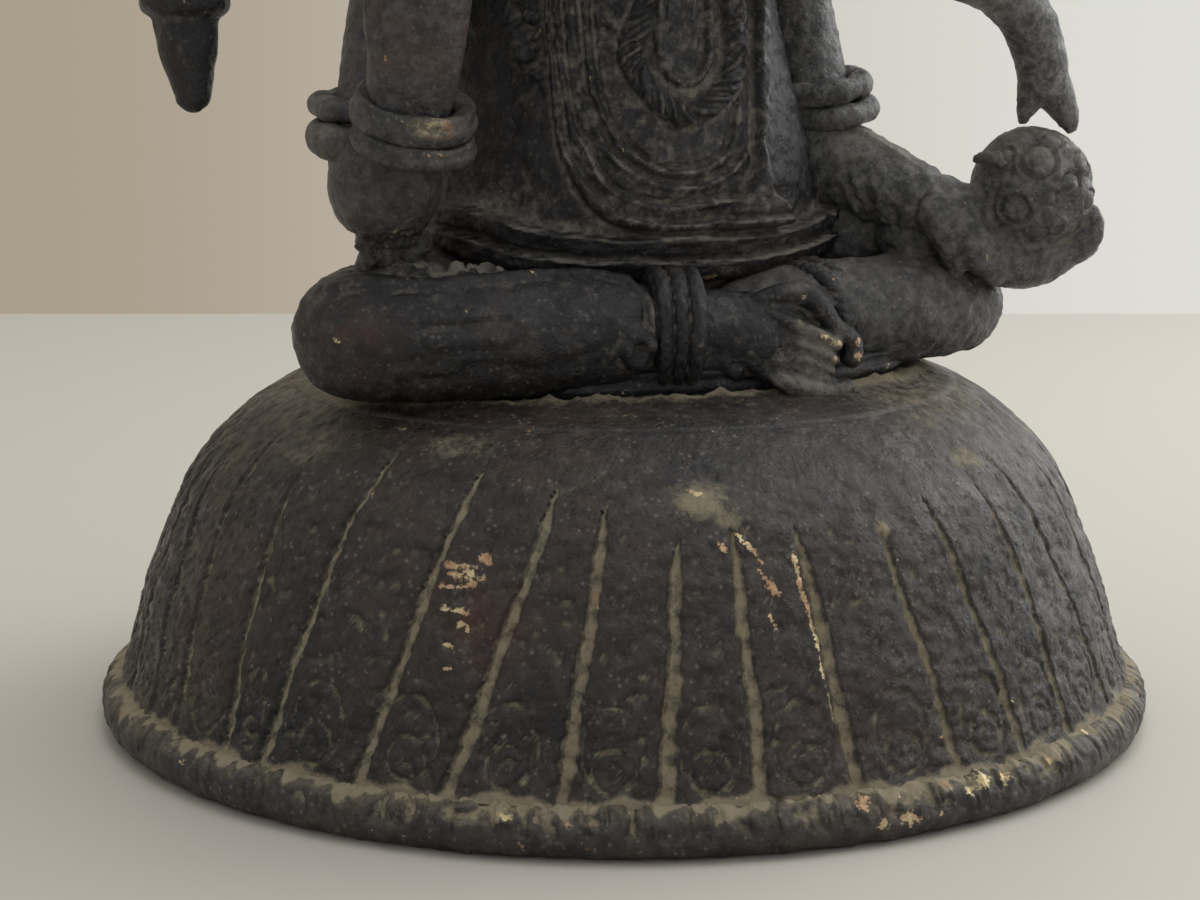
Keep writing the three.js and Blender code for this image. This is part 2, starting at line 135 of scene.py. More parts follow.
def distanceToLine(place, line):
    # distance from each point to a line of straight steps, and how far along it the nearest place is
    line = np.asarray(line, float)
    best = np.full(place.shape[:-1], 1e9)
    along = np.zeros(place.shape[:-1])
    done = 0.0
    for start, end in zip(line[:-1], line[1:]):
        step = end - start
        length = np.linalg.norm(step)
        share = np.clip((place - start) @ step / length ** 2, 0, 1)
        far = np.linalg.norm(place - start - share[..., None] * step, axis=-1)
        nearer = far < best
        best = np.where(nearer, far, best)
        along = np.where(nearer, done + share * length, along)
        done += length
    return best, along


def smoothLine(points, count=48):
    return smoothPath(points, np.linspace(0, 1, count))


# Surfaces
# A surface is a grid of points, rows by columns, that wraps round in its columns, with a point that
# closes it at each end. A ring has no such points, and wraps round in its rows too.

def framesAlong(path, t, facing):
    # centre, side and up at each t: up is carried along the path and kept square to it
    centre = smoothPath(path, t)
    tangent = smoothPath(path, np.clip(t + 0.004, 0, 1)) - smoothPath(path, np.clip(t - 0.004, 0, 1))
    tangent /= np.linalg.norm(tangent, axis=1)[:, None]
    up = np.empty_like(tangent)
    last = np.array(facing, float)
    for i, direction in enumerate(tangent):
        last = last - direction * (last @ direction)
        last /= np.linalg.norm(last)
        up[i] = last
    return centre, tangent, np.cross(tangent, up), up


def limbSurface(path, radii, rows=90, sides=72, facing=(0.1, 0.2, 1), stretch=(1, 1), domes=(1, 1),
                square=0, relief=None):
    # centre(t) + (r(t) + relief(t, angle)) * (side * sin(angle) + up * cos(angle)), with domed ends;
    # square makes the section boxy, by the superellipse of that power
    dome = 8
    lift = (np.arange(1, dome + 1) / (dome + 1)) * (math.pi / 2)
    t = np.r_[np.zeros(dome), np.linspace(0, 1, rows), np.ones(dome)]
    shrink = np.r_[np.sin(lift), np.ones(rows), np.sin(lift[::-1])]
    r0, r1 = smoothValues(radii, np.array([0.0, 1.0]))
    past = np.r_[-r0 * domes[0] * np.cos(lift), np.zeros(rows), r1 * domes[1] * np.cos(lift[::-1])]
    centre, tangent, side, up = framesAlong(path, t, facing)
    angle = np.linspace(0, 2 * math.pi, sides, endpoint=False)
    r = smoothValues(radii, t)[:, None] * np.ones(sides)
    if square:
        r = r * (np.abs(np.sin(angle)) ** square + np.abs(np.cos(angle)) ** square) ** (-1 / square)
    if relief:
        r = r + relief(t[:, None], angle[None, :])
    r = (r * shrink[:, None])[..., None]
    centre = centre + tangent * past[:, None]
    across = np.sin(angle)[None, :, None] * stretch[0]
    along = np.cos(angle)[None, :, None] * stretch[1]
    grid = centre[:, None] + r * (side[:, None] * across + up[:, None] * along)
    tips = (centre[0] - tangent[0] * r0 * domes[0] * 0.04, centre[-1] + tangent[-1] * r1 * domes[1] * 0.04)
    return grid, tips


def eggSurface(at, size, rows=40, sides=56, relief=None):
    # at + size * direction(latitude, longitude), pushed along the direction by the relief
    latitude = (np.arange(1, rows + 1) / (rows + 1)) * math.pi
    longitude = np.linspace(0, 2 * math.pi, sides, endpoint=False)
    direction = np.stack([
        np.sin(latitude)[:, None] * np.sin(longitude)[None, :],
        -np.sin(latitude)[:, None] * np.cos(longitude)[None, :],
        -np.cos(latitude)[:, None] * np.ones(sides)[None, :],
    ], axis=-1)
    out = relief(direction) if relief else np.zeros(direction.shape[:2])
    grid = np.array(at) + direction * (np.array(size) + out[..., None])
    ends = np.array(at) + np.array([[0, 0, -size[2]], [0, 0, size[2]]])
    return grid, (ends[0], ends[1])


def hoopSurface(at, radius, height, thick, lean=(0, 0, 1), facing=(0, -1, 0), rows=200, sides=36,
                relief=None):
    # a ring round the axis: at + ringDirection * (radius + thick * cos(s)) + axis * height * sin(s)
    axis = np.array(lean, float)
    axis /= np.linalg.norm(axis)
    first = np.array(facing, float) - axis * (axis @ np.array(facing, float))
    first /= np.linalg.norm(first)
    second = np.cross(axis, first)
    turn = np.linspace(0, 2 * math.pi, rows, endpoint=False)[:, None]
    s = np.linspace(0, 2 * math.pi, sides, endpoint=False)[None, :]
    out = relief(turn, s) if relief else np.zeros((rows, sides))
    wide = radius + (thick + out) * np.cos(s)
    tall = (height + out) * np.sin(s)
    ringDirection = first * np.cos(turn)[..., None] - second * np.sin(turn)[..., None]
    return np.array(at) + ringDirection * wide[..., None] + axis * tall[..., None], None


def turnedSurface(profile, angles, relief=None):
    # each profile point (r, z) goes round the Z axis at the given angles; the relief moves it outwards
    r, z = profile[:, :1], profile[:, 1:]
    r = r + (relief(z, angles[None, :], r) if relief else 0)
    grid = np.stack([r * np.sin(angles), -r * np.cos(angles), z * np.ones(len(angles))], axis=-1)
    return grid, (np.array([0, 0, profile[0, 1]]), np.array([0, 0, profile[-1, 1]]))


def surfaceMesh(surfaces):
    # one vertex array and face lists for several closed surfaces
    vertices, quads, triangles, start = [], [], [np.zeros((0, 3), int)], 0
    for grid, tips in surfaces:
        rows, columns = grid.shape[:2]
        here = start + np.arange(rows * columns).reshape(rows, columns)
        turn = np.roll(here, -1, axis=1)
        vertices.append(grid.reshape(-1, 3))
        start += rows * columns
        if tips is None:
            above, aboveTurn = np.roll(here, -1, axis=0), np.roll(turn, -1, axis=0)
            quads.append(np.stack([here, turn, aboveTurn, above], axis=-1).reshape(-1, 4))
            continue
        quads.append(np.stack([here[:-1], turn[:-1], turn[1:], here[1:]], axis=-1).reshape(-1, 4))
        triangles.append(np.stack([turn[0], here[0], np.full(columns, start)], axis=-1))
        triangles.append(np.stack([here[-1], turn[-1], np.full(columns, start + 1)], axis=-1))
        vertices.append(np.array(tips))
        start += 2
    return np.concatenate(vertices), np.concatenate(quads), np.concatenate(triangles)


def meshFrom(name, vertices, quads, triangles):
    mesh = bpy.data.meshes.new(name)
    corners = np.r_[quads.reshape(-1), triangles.reshape(-1)].astype(np.int32)
    sizes = np.r_[np.full(len(quads), 4), np.full(len(triangles), 3)]
    mesh.vertices.add(len(vertices))
    mesh.vertices.foreach_set("co", (vertices * 0.001).astype(np.float32).ravel())
    mesh.loops.add(len(corners))
    mesh.loops.foreach_set("vertex_index", corners)
    mesh.polygons.add(len(sizes))
    mesh.polygons.foreach_set("loop_start", np.r_[0, np.cumsum(sizes)[:-1]].astype(np.int32))
    mesh.polygons.foreach_set("use_smooth", np.ones(len(sizes), bool))
    mesh.update(calc_edges=True)
    mesh.validate()
    return mesh


def pointsOf(mesh):
    points = np.empty(len(mesh.vertices) * 3, np.float32)
    mesh.vertices.foreach_get("co", points)
    return points.reshape(-1, 3).astype(float) * 1000


def normalsOf(mesh):
    normals = np.empty(len(mesh.vertices) * 3, np.float32)
    mesh.vertex_normals.foreach_get("vector", normals)
    return normals.reshape(-1, 3).astype(float)


def setPoints(mesh, points):
    mesh.vertices.foreach_set("co", (points * 0.001).astype(np.float32).ravel())
    mesh.update()


def neighbourMean(mesh):
    # a function that replaces each vertex's value by the mean of its neighbours
    edges = np.empty(len(mesh.edges) * 2, np.int32)
    mesh.edges.foreach_get("vertices", edges)
    a, b = edges.reshape(-1, 2).T
    count = len(mesh.vertices)
    degree = np.maximum(np.bincount(a, minlength=count) + np.bincount(b, minlength=count), 1)

    def mean(values):
        columns = values.reshape(count, -1).T
        sums = [np.bincount(a, c[b], count) + np.bincount(b, c[a], count) for c in columns]
        return (np.stack(sums, axis=-1) / degree[:, None]).reshape(values.shape)

    return mean


def writeValue(mesh, name, values):
    mesh.attributes.new(name, "FLOAT", "POINT").data.foreach_set("value", values.astype(np.float32))


pieces = {}


def addPiece(name, mesh):
    piece = bpy.data.objects.new(name, mesh)
    bpy.context.scene.collection.objects.link(piece)
    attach(piece, "root")
    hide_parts(figureNode)
    pieces[name] = piece
    print("piece", name, len(mesh.vertices), "points")
    return piece


def gridPiece(name, surfaces, roughness=(0, 1), relief=None):
    return addPiece(name, roughened(meshFrom(name, *surfaceMesh(surfaces)), roughness, relief))


def roughened(mesh, roughness, relief):
    # moves each point along its normal by cast roughness and by the relief
    points, normals = pointsOf(mesh), normalsOf(mesh)
    out = castNoise(points, roughness[1], len(pieces) + 3.0) * roughness[0]
    if relief:
        out = out + relief(points, normals)
    setPoints(mesh, points + normals * out[:, None])
    return mesh


def castPiece(name, surfaces, voxel, smoothing=2, roughness=(0.1, 1.6), relief=None):
    # several closed surfaces become one skin, smoothed where they meet and roughened as cast metal is
    rough = bpy.data.objects.new(name + "Rough", meshFrom(name + "Rough", *surfaceMesh(surfaces)))
    bpy.context.scene.collection.objects.link(rough)
    remesh = rough.modifiers.new("skin", "REMESH")
    remesh.mode = "VOXEL"
    remesh.voxel_size = voxel * 0.001
    remesh.use_smooth_shade = True
    ready = rough.evaluated_get(bpy.context.evaluated_depsgraph_get())
    mesh = bpy.data.meshes.new_from_object(ready)
    mesh.name = name
    bpy.data.objects.remove(rough)
    points = pointsOf(mesh)
    mean = neighbourMean(mesh)
    for _ in range(smoothing):
        points = points + 0.6 * (mean(points) - points)
        points = points - 0.45 * (mean(points) - points)
    setPoints(mesh, points)
    return addPiece(name, roughened(mesh, roughness, relief))


def chipsOn(points, spots, spread=1.5, weights=(1, 1, 1)):
    # a cone at each spot, 1 in its middle and 0 at spread times its reach, added up and held at 1
    total = 0
    for at, reach in spots:
        far = np.linalg.norm((points - np.array(at)) * weights, axis=1)
        total = total + np.clip(1 - far / (spread * reach), 0, 1)
    return np.clip(total, 0, 1)


# Stage, camera and light

view = {
    "position": (-107.06, -286.26, 86.18),
    "azimuth": -20,
    "pitch": 10.55,
    "lens": 81,
    "tableBehind": 335,
}

cameraData = bpy.data.cameras.new("camera")
cameraData.lens = view["lens"]
cameraData.sensor_width = 36
cameraData.clip_start = 0.01
camera = bpy.data.objects.new("camera", cameraData)
camera.location = [value * 0.001 for value in view["position"]]
camera.rotation_euler = ((90 - view["pitch"]) * degrees, 0, view["azimuth"] * degrees)
bpy.context.scene.collection.objects.link(camera)
bpy.context.scene.camera = camera

# the table is square to the camera and ends behind the figure, as the one in the photograph does
turn = view["azimuth"] * degrees
across = np.array([math.cos(turn), math.sin(turn), 0])
away = np.array([-math.sin(turn), math.cos(turn), 0])
behind = view["tableBehind"]
corners = ((-1500, -1500), (1500, -1500), (1500, behind), (-1500, behind))
table = np.array([across * x + away * y for x, y in corners])
tableMesh = bpy.data.meshes.new("table")
tableMesh.from_pydata((table * 0.001).tolist(), [], [(0, 1, 2, 3)])
tableTop = bpy.data.objects.new("table", tableMesh)
bpy.context.scene.collection.objects.link(tableTop)
print("stage ready")


# Lotus base: a domed wall cut by grooves into petals, each with an eye at its foot

lotus = {
    "profile": [
        (57.8, 5.0), (57.0, 7.6), (56.2, 10), (54.9, 15), (52.8, 20.5), (50.4, 26.3), (47.8, 30.5),
        (44.4, 33.9), (40.6, 36.6), (36.5, 38.5), (31, 39.6), (24, 40), (12, 40), (1, 40),
    ],
    # each groove: direction and height of its lower end, of its upper end, and half its width
    "grooves": [
        (-100, 6, -101, 33, 0.6), (-91, 6, -95, 32.5, 0.6), (-81.6, 6, -88, 32.2, 0.6),
        (-75, 6, -79, 34.7, 0.6), (-65.6, 6, -67.2, 33.8, 0.6), (-59.8, 6, -53.8, 35.6, 0.68),
        (-47.4, 6, -39.5, 35.2, 0.7), (-37.7, 5.8, -28.8, 33.5, 0.82), (-26.5, 5.8, -22.6, 32.2, 0.8),
        (-16.4, 5.8, -14.4, 29.2, 0.8), (-7.1, 5.8, -7.9, 29.9, 0.74), (2.8, 5.8, 0.1, 29.5, 0.78),
        (15.2, 5.8, 11, 28.7, 0.5), (24.7, 5.8, 19.5, 30.6, 0.5), (33.4, 6, 30.6, 30.7, 0.46),
        (45.1, 6, 38.1, 31.8, 0.42), (54.3, 6, 50.5, 31.4, 0.42), (63.5, 6, 61, 32, 0.45),
    ],
    "backGrooves": 18,
    "grooveDepth": 0.75,
    "eyeDepth": 0.36,
    "frontColumns": 640,
    "backColumns": 110,
    "frontFrom": -112,
    "frontTo": 76,
    "eyeRows": 36,
    "wallRows": 67,
    "eyeTop": 15.6,
    "wallTop": 38.0,
    "wallThick": 3.0,
}
# bare metal on the wall: lines of (direction in degrees, height) with half their width in mm
bareStrokes = [
    ([(-40.6, 26.6), (-37.5, 26.4)], 0.5), ([(-40.2, 25.7), (-36.0, 25.6)], 0.4),
    ([(-41.0, 24.6), (-37.0, 24.9)], 0.35), ([(-36.6, 27.4), (-35.8, 27.2)], 0.7),
    ([(-40.5, 22.6), (-37.4, 22.4)], 0.35), ([(-38.2, 21.3), (-37.2, 20.9)], 0.5),
    ([(-40.0, 19.4), (-38.6, 19.1)], 0.3), ([(-39.2, 17.2), (-38.6, 17.1)], 0.3),
    ([(-7.3, 29.6), (-5.6, 28.2), (-4.8, 27.0)], 0.35), ([(-5.2, 26.4), (-4.2, 25.2)], 0.35),
    ([(-9.4, 29.0), (-8.8, 28.2)], 0.45), ([(-4.2, 25.0), (-3.6, 24.4)], 0.75),
    ([(-4.6, 22.0), (-3.9, 21.0)], 0.4),
    ([(-0.9, 27.4), (-0.7, 25.0), (0.0, 22.0)], 0.42), ([(0.1, 21.4), (0.5, 19.0)], 0.42),
    ([(0.5, 18.0), (0.7, 16.2)], 0.36), ([(0.9, 14.6), (1.3, 12.0)], 0.3),
    ([(-23.6, 24.4), (-23.3, 23.4)], 0.35), ([(-12.4, 33.4), (-10.6, 33.0)], 0.3),
]
# dust that lies on the shoulder: (direction, height, reach across in mm, reach up in mm, strength)
dustHeaps = [(-11, 32.6, 5.0, 2.2, 0.9), (-8, 31.0, 2.5, 1.5, 0.8), (-45, 36.5, 9, 2.0, 0.5),
             (33, 33.5, 6, 1.5, 0.7), (11.5, 29.0, 1.4, 1.2, 0.9), (62, 34, 8, 3, 0.5),
             (-70, 35, 10, 3, 0.5)]


def baseAngles():
    low, high = lotus["frontFrom"], lotus["frontTo"]
    front = np.linspace(low, high, lotus["frontColumns"], endpoint=False)
    back = np.linspace(high, low + 360, lotus["backColumns"], endpoint=False)
    return np.r_[front, back] * degrees


def profileCurve():
    points = np.array(lotus["profile"])
    return smoothPath(points, np.linspace(0, 1, 600))


def allGrooves():
    front = lotus["grooves"]
    first, last = front[0][0], front[-1][0]
    gap = (360 - (last - first)) / (lotus["backGrooves"] - 1)
    back = [last + gap * (i + 1) for i in range(lotus["backGrooves"] - 2)]
    return front + [(turnBy, 6, turnBy, 32.5, 0.6) for turnBy in back]


def grooveMask(z, angle, r):
    # a groove is cut deep along its left wall and rises towards the right; it narrows upwards. The mask
    # is its depth, from 0 to 1, and the second value is the dust that lies on its floor, kept off the
    # strip beside the deep left wall so that strip stays dark as painted shade
    mask = np.zeros(np.broadcast_shapes(z.shape, angle.shape))
    dusty = mask.copy()
    for i, (lowAngle, lowZ, highAngle, highZ, halfWidth) in enumerate(allGrooves()):
        share = (z - lowZ) / (highZ - lowZ)
        bow = 0.10 * np.sin(z * 0.45 + i * 2.1) + 0.05 * np.sin(z * 1.5 + i) + 0.04 * np.sin(z * 3.7 + i * 5)
        centre = (lowAngle + (highAngle - lowAngle) * share) * degrees + bow / np.maximum(r, 20)
        off = (np.mod(angle - centre + math.pi, 2 * math.pi) - math.pi) * r
        taper = (1.2 - 0.4 * np.clip(share, 0, 1)) * (1 - 0.75 * ease(0.86, 1.03, share))
        width = halfWidth * taper * (1 + 0.12 * np.sin(i * 1.7 + z * 0.7) + 0.06 * np.sin(i + z * 2.9))
        there = ease(-0.05, 0.0, share) * (1 - ease(0.99, 1.04, share))
        across = off / width
        depth = (1 - ease(0.75, 1.05, np.abs(across))) * (0.72 - 0.30 * np.clip(across, -1, 1))
        mask = np.maximum(mask, depth * there)
        # dust starts a little right of the left wall; the bare dark strip is painted shade
        inside = ease(-0.62, -0.30, across) * (1 - ease(0.70, 1.15, across))
        dusty = np.maximum(dusty, inside * there * (0.85 + 0.15 * np.sin(z * 2.3 + i)))
    return mask, dusty


def petalEyes(z, angle):
    # three nested loops at each petal's foot: a tall oval, a circle low inside it and a small ring;
    # each is a thin line at the loop's distance, 1 on the line and 0 beside it
    low = np.array([g[0] for g in allGrooves()] + [allGrooves()[0][0] + 360]) * degrees
    wrapped = np.mod(angle - low[0], 2 * math.pi) + low[0]
    k = np.clip(np.searchsorted(low, wrapped, side="right") - 1, 0, len(low) - 2)
    jitter = np.sin(k * 12.9898) * 0.5
    u = (wrapped - (low[k] + low[k + 1]) / 2) * 57 - jitter * 0.5
    half = (low[k + 1] - low[k]) * 57 / 2
    wide = np.minimum(3.1, half - 1.3) * (1 + 0.06 * jitter)
    worn = 0.72 + 0.28 * np.sin(u * 2.1 + z * 1.3 + k)
    oval = (np.hypot(u / wide, (z - 10.2 - 0.3 * jitter) / 4.05) - 1) * np.sqrt(wide * 4.05)
    circle = np.hypot(u * 0.96, z - 8.35 - 0.2 * jitter) - np.minimum(1.95, wide * 0.66)
    dot = np.hypot(u, z - 8.4) - 0.72
    lines = np.maximum(softRidge(oval, 0.40),
                       np.maximum(softRidge(circle, 0.38), 0.8 * softRidge(dot, 0.36)))
    return lines * worn


def lotusSkin(z, angle, r):
    # slow swells of the casting, raised flakes and small pits
    place = np.stack(np.broadcast_arrays(r * np.sin(angle), -r * np.cos(angle), z), axis=-1)
    streaks = castNoise(place * np.array([0.8, 0.8, 1.3]), 1.2, 8.0, 3)
    flaked = ease(0.22, 0.5, streaks) * 0.13 - ease(0.25, 0.6, -streaks) * 0.22
    return castNoise(place, 4.5, 5.0, 3) * 0.15 + flaked


def lotusRelief(z, angle, r):
    groove, _ = grooveMask(z, angle, r)
    eyes = petalEyes(z, angle) * (1 - np.minimum(groove * 2, 1))
    cut = lotus["grooveDepth"] * groove + lotus["eyeDepth"] * eyes
    return (lotusSkin(z, angle, r) - cut) * ease(5.0, 5.8, z)


def buildWall():
    angles = baseAngles()
    curve = profileCurve()
    low = np.linspace(curve[0, 1], lotus["eyeTop"], lotus["eyeRows"], endpoint=False)
    steepEnd = np.argmin(np.abs(curve[:, 1] - lotus["wallTop"]))
    startHigh = np.argmin(np.abs(curve[:, 1] - lotus["eyeTop"]))
    lowRows = np.stack([np.interp(low, curve[:, 1], curve[:, 0]), low], axis=-1)
    highRows = curve[np.linspace(startHigh, steepEnd, lotus["wallRows"]).astype(int)]
    outer = np.r_[lowRows, highRows]
    top, foot = outer[-1], outer[0]
    inner = np.array([top - [1.5, lotus["wallThick"]], [46, 20], foot + [-lotus["wallThick"], 0]])
    profile = np.r_[outer, inner]
    isOuter = np.r_[np.ones(len(outer)), np.zeros(len(inner))][:, None]

    def relief(z, angle, r):
        return lotusRelief(z, angle, r) * isOuter

    grid, _ = turnedSurface(profile, angles, relief)
    mesh = meshFrom("lotusWall", *surfaceMesh([(grid, None)]))
    sharp = np.zeros(len(mesh.edges), bool)
    edges = np.empty(len(mesh.edges) * 2, np.int32)
    mesh.edges.foreach_get("vertices", edges)
    row = edges.reshape(-1, 2) // len(angles)
    for edgeRow in (0, len(outer) - 1):
        sharp |= (row == edgeRow).all(axis=1)
    mesh.attributes.new("sharp_edge", "BOOLEAN", "EDGE").data.foreach_set("value", sharp)
    z, r, angle = profile[:, 1:], profile[:, :1], angles[None, :]
    _, dusty = grooveMask(z, angle, r)
    eyes = petalEyes(z, angle)
    atFoot = 1 - ease(0.0, 1.3, z - 5.1 - 0.35 * np.sin(angle * 31) - 0.25 * np.sin(angle * 83))
    dust = np.maximum(np.maximum(0.8 * dusty, atFoot), 0.56 * eyes)
    writeValue(mesh, "lineDust", (dust * isOuter).ravel())
    bare = np.zeros(z.shape[:1] + (len(angles),))
    place = np.stack([angle * 54 * np.ones(z.shape), z * np.ones(angle.shape)], axis=-1)
    for line, halfWidth in bareStrokes:
        far, _ = distanceToLine(place, [(a * degrees * 54, high) for a, high in line])
        bare = np.maximum(bare, 1 - far / (2 * halfWidth))
    writeValue(mesh, "bareMetal", np.clip(bare, 0, 1).ravel())
    red = softRidge(np.hypot((angle + 36 * degrees) * 54 / 9, (z - 22) / 9), 1)
    red = np.maximum(red, 0.6 * softRidge(np.hypot((angle + 72 * degrees) * 54 / 16, (z - 18) / 12), 1))
    writeValue(mesh, "redness", (red * np.ones(angle.shape)).ravel())
    heaps = np.zeros(bare.shape)
    for turnBy, high, reachAcross, reachUp, strength in dustHeaps:
        far = np.hypot((angle - turnBy * degrees) * 54 / reachAcross, (z - high) / reachUp)
        heaps = np.maximum(heaps, strength * (1 - ease(0, 1.3, far)))
    # the shoulder is paler towards its left and right edges as the camera sees them: a little dust, and
    # painted rim light
    side = np.maximum(ease(12, 34, angle / degrees), ease(-58, -80, angle / degrees))
    shoulderDustAndRimLight = ease(33.5, 37.5, z) * (0.02 + 0.42 * side)
    writeValue(mesh, "heapDustAndSideLight", np.maximum(heaps, shoulderDustAndRimLight).ravel())
    return addPiece("lotusWall", mesh)


# the low mound under the legs: its middle, half its length and depth, and its outline as shares of those
mound = {
    "centre": (-0.5, -5, 0),
    "half": (33.2, 22.2),
    "profile": [(0.955, 35), (0.955, 39.6), (0.99, 40.8), (0.985, 41.8), (0.94, 42.7), (0.5, 43)],
}


def buildTop():
    # the dome's flat top and its turned-down edge, closed below by a plain disc
    curve = profileCurve()
    start = np.argmin(np.abs(curve[:, 1] - lotus["wallTop"]))
    outer = curve[np.linspace(start, len(curve) - 1, 30).astype(int)]
    angles = np.linspace(0, 2 * math.pi, 400, endpoint=False)

    def relief(z, angle, r):
        return lotusSkin(z, angle, r) * ease(3, 6, r)

    grid, tips = turnedSurface(outer, angles, relief)
    place = grid.copy()
    inside = ease(0, 3, lotus["profile"][9][0] - np.hypot(place[..., 0], place[..., 1]))
    grid[..., 2] += (castNoise(place, 3.0, 9.0, 3) * 0.16 + castNoise(place, 1.1, 7.0, 2) * 0.10) * inside
    # a bank of dust and crumbs lies along the foot of the mound
    along, back = place[..., 0] - mound["centre"][0], place[..., 1] - mound["centre"][1]
    reach = np.hypot(along, back * mound["half"][0] / mound["half"][1]) - mound["half"][0]
    bank = softRidge(reach - 1.0 - 0.8 * castNoise(place, 5.0, 21.0, 2), 2.4)
    grid[..., 2] += bank * (0.5 + 0.6 * castNoise(place, 1.5, 19.0, 2)) * inside
    under = np.array([[outer[0, 0] - 2, outer[0, 1] - 3], [1, outer[0, 1] - 3]])
    lower, _ = turnedSurface(under[::-1], angles)
    whole = np.concatenate([lower, grid])
    mesh = meshFrom("lotusTop", *surfaceMesh([(whole, (np.array([0, 0, under[0, 1]]), tips[1]))]))
    # paler towards the left and right edges as the camera sees them, as on the wall's shoulder, which is
    # painted rim light; the bank along the mound is dust
    turnBy = np.arctan2(place[..., 0], -place[..., 1]) / degrees
    side = np.maximum(ease(12, 34, turnBy), ease(-58, -80, turnBy))
    dust = 0.02 + 0.42 * side + (0.95 - 0.42 * side) * bank
    writeValue(mesh, "heapDustAndSideLight", np.r_[np.zeros(lower.shape[0] * lower.shape[1]), dust.ravel(), 0, 0])
    return addPiece("lotusTop", mesh)


rim = {
    "centre": 57.45,
    "height": 2.75,
    "out": 2.5,
    "up": 2.72,
    "limit": 59.95,
    "frontColumns": 1000,
    "backColumns": 260,
    "rows": 36,
    "blockGap": 0.5,
    "ropeNick": 0.42,
    "ropePitch": 1.95,
}


def buildRim():
    # a ring with a round section: dented into uneven blocks in front, and cut by slanted nicks, like
    # a rope, at the sides and behind
    low, high = lotus["frontFrom"], lotus["frontTo"]
    a = np.r_[np.linspace(low, high, rim["frontColumns"], endpoint=False),
              np.linspace(high, low + 360, rim["backColumns"], endpoint=False)][:, None] * degrees
    s = np.linspace(0, 2 * math.pi, rim["rows"], endpoint=False)[None, :]
    place = np.stack(np.broadcast_arrays(57 * np.sin(a), -57 * np.cos(a), 3 * np.sin(s)), axis=-1)
    facing = ease(-0.35, 0.3, np.sin(s)) * ease(-0.55, 0.1, np.cos(s))
    slant = a * 58 / rim["ropePitch"] + 0.55 * np.sin(s) + 0.35 * np.sin(a * 37) + 0.2 * np.sin(a * 91)
    rope = softRidge(np.mod(slant, 1) - 0.5, 0.3) * rim["ropeNick"] * (0.7 + 0.3 * np.sin(a * 53))
    along = a * 58 / 4.1 + 0.55 * np.sin(a * 23) + 0.35 * np.sin(a * 61 + 1) + 0.12 * np.sin(s * 2)
    within = np.mod(along, 1) - 0.5
    blocks = softRidge(within, 0.09) * rim["blockGap"] + 0.18 * (1 - softRidge(within, 0.5))
    dents = ease(0.05, 0.7, castNoise(place, 1.9, 61.0, 3)) * 0.6
    isRope = ease(34, 44, np.abs(a / degrees + 8)) * ease(-0.4, 0.5, castNoise(place, 9, 63.0, 1) + 0.35)
    cut = isRope * rope + (1 - isRope) * (blocks + dents)
    out = castNoise(place, 1.3, 31.0, 3) * 0.2 - cut * facing
    r = np.minimum(rim["centre"] + (rim["out"] + out) * np.cos(s), rim["limit"])
    z = np.maximum(rim["height"] + (rim["up"] + out * 0.8) * np.sin(s), 0.0)
    grid = np.stack(np.broadcast_arrays(r * np.sin(a), -r * np.cos(a), z), axis=-1)
    mesh = meshFrom("lotusRim", *surfaceMesh([(grid[:, ::-1], None)]))
    s, cut = s[:, ::-1], cut[:, ::-1]
    wave = 0.25 * np.sin(a * 47) + 0.25 * np.sin(a * 19 + 2) + 0.2 * np.sin(a * 113) + 0.15 * np.sin(a * 171)
    crease = ease(0.9 + wave, 1.35 + wave, s) * (1 - ease(3.4, 3.8, s))
    inCuts = 0.6 * ease(0.2, 0.5, cut) * ease(-0.2, 0.4, np.sin(s))
    writeValue(mesh, "lineDust", np.maximum(crease, inCuts).ravel())
    bare = np.zeros((len(a), s.shape[1]))
    chips = [(17.0, 4.7, 1.0), (19.8, 4.4, 0.8), (15.0, 4.2, 0.7), (7.6, 2.6, 1.1), (4.6, 2.4, 0.8),
             (-31.5, 4.5, 0.6), (-25.5, 4.2, 0.5), (12.4, 4.9, 0.5), (2.8, 4.6, 0.8), (-70, 3.8, 0.5),
             (-88, 4.4, 0.5), (27, 4.6, 0.5)]
    up = (rim["height"] + rim["up"] * np.sin(s)) * (np.cos(s) > -0.2)
    for turnBy, high, reach in chips:
        far = np.hypot((a - turnBy * degrees) * 59 / 1.5, up - high)
        bare = np.maximum(bare, 1 - far / (2 * reach))
    writeValue(mesh, "bareMetal", np.clip(bare, 0, 1).ravel())
    return addPiece("lotusRim", mesh)


buildWall()
buildTop()
buildRim()

# Body, with its cords, garland and belts raised on the front

body = {
    # each row: height, half the width, half the depth, and how far back its middle is
    "rows": [
        (42, 23, 16, 2), (47, 24, 18.4, 1.4), (52, 24.3, 19.6, 0.9), (57.4, 23.8, 20, 0.4),
        (66, 22, 19.6, 0.6), (75, 19.8, 17.2, 1.2), (84, 19.5, 14, 1.7), (91, 19.4, 11.2, 2),
        (95.5, 15, 9.6, 1.8), (101, 9, 7.8, 1),
    ],
    "frontColumns": 330,
    "backColumns": 60,
    "rowsUpTo": [(48.5, 8), (83, 128), (100.8, 32)],
}
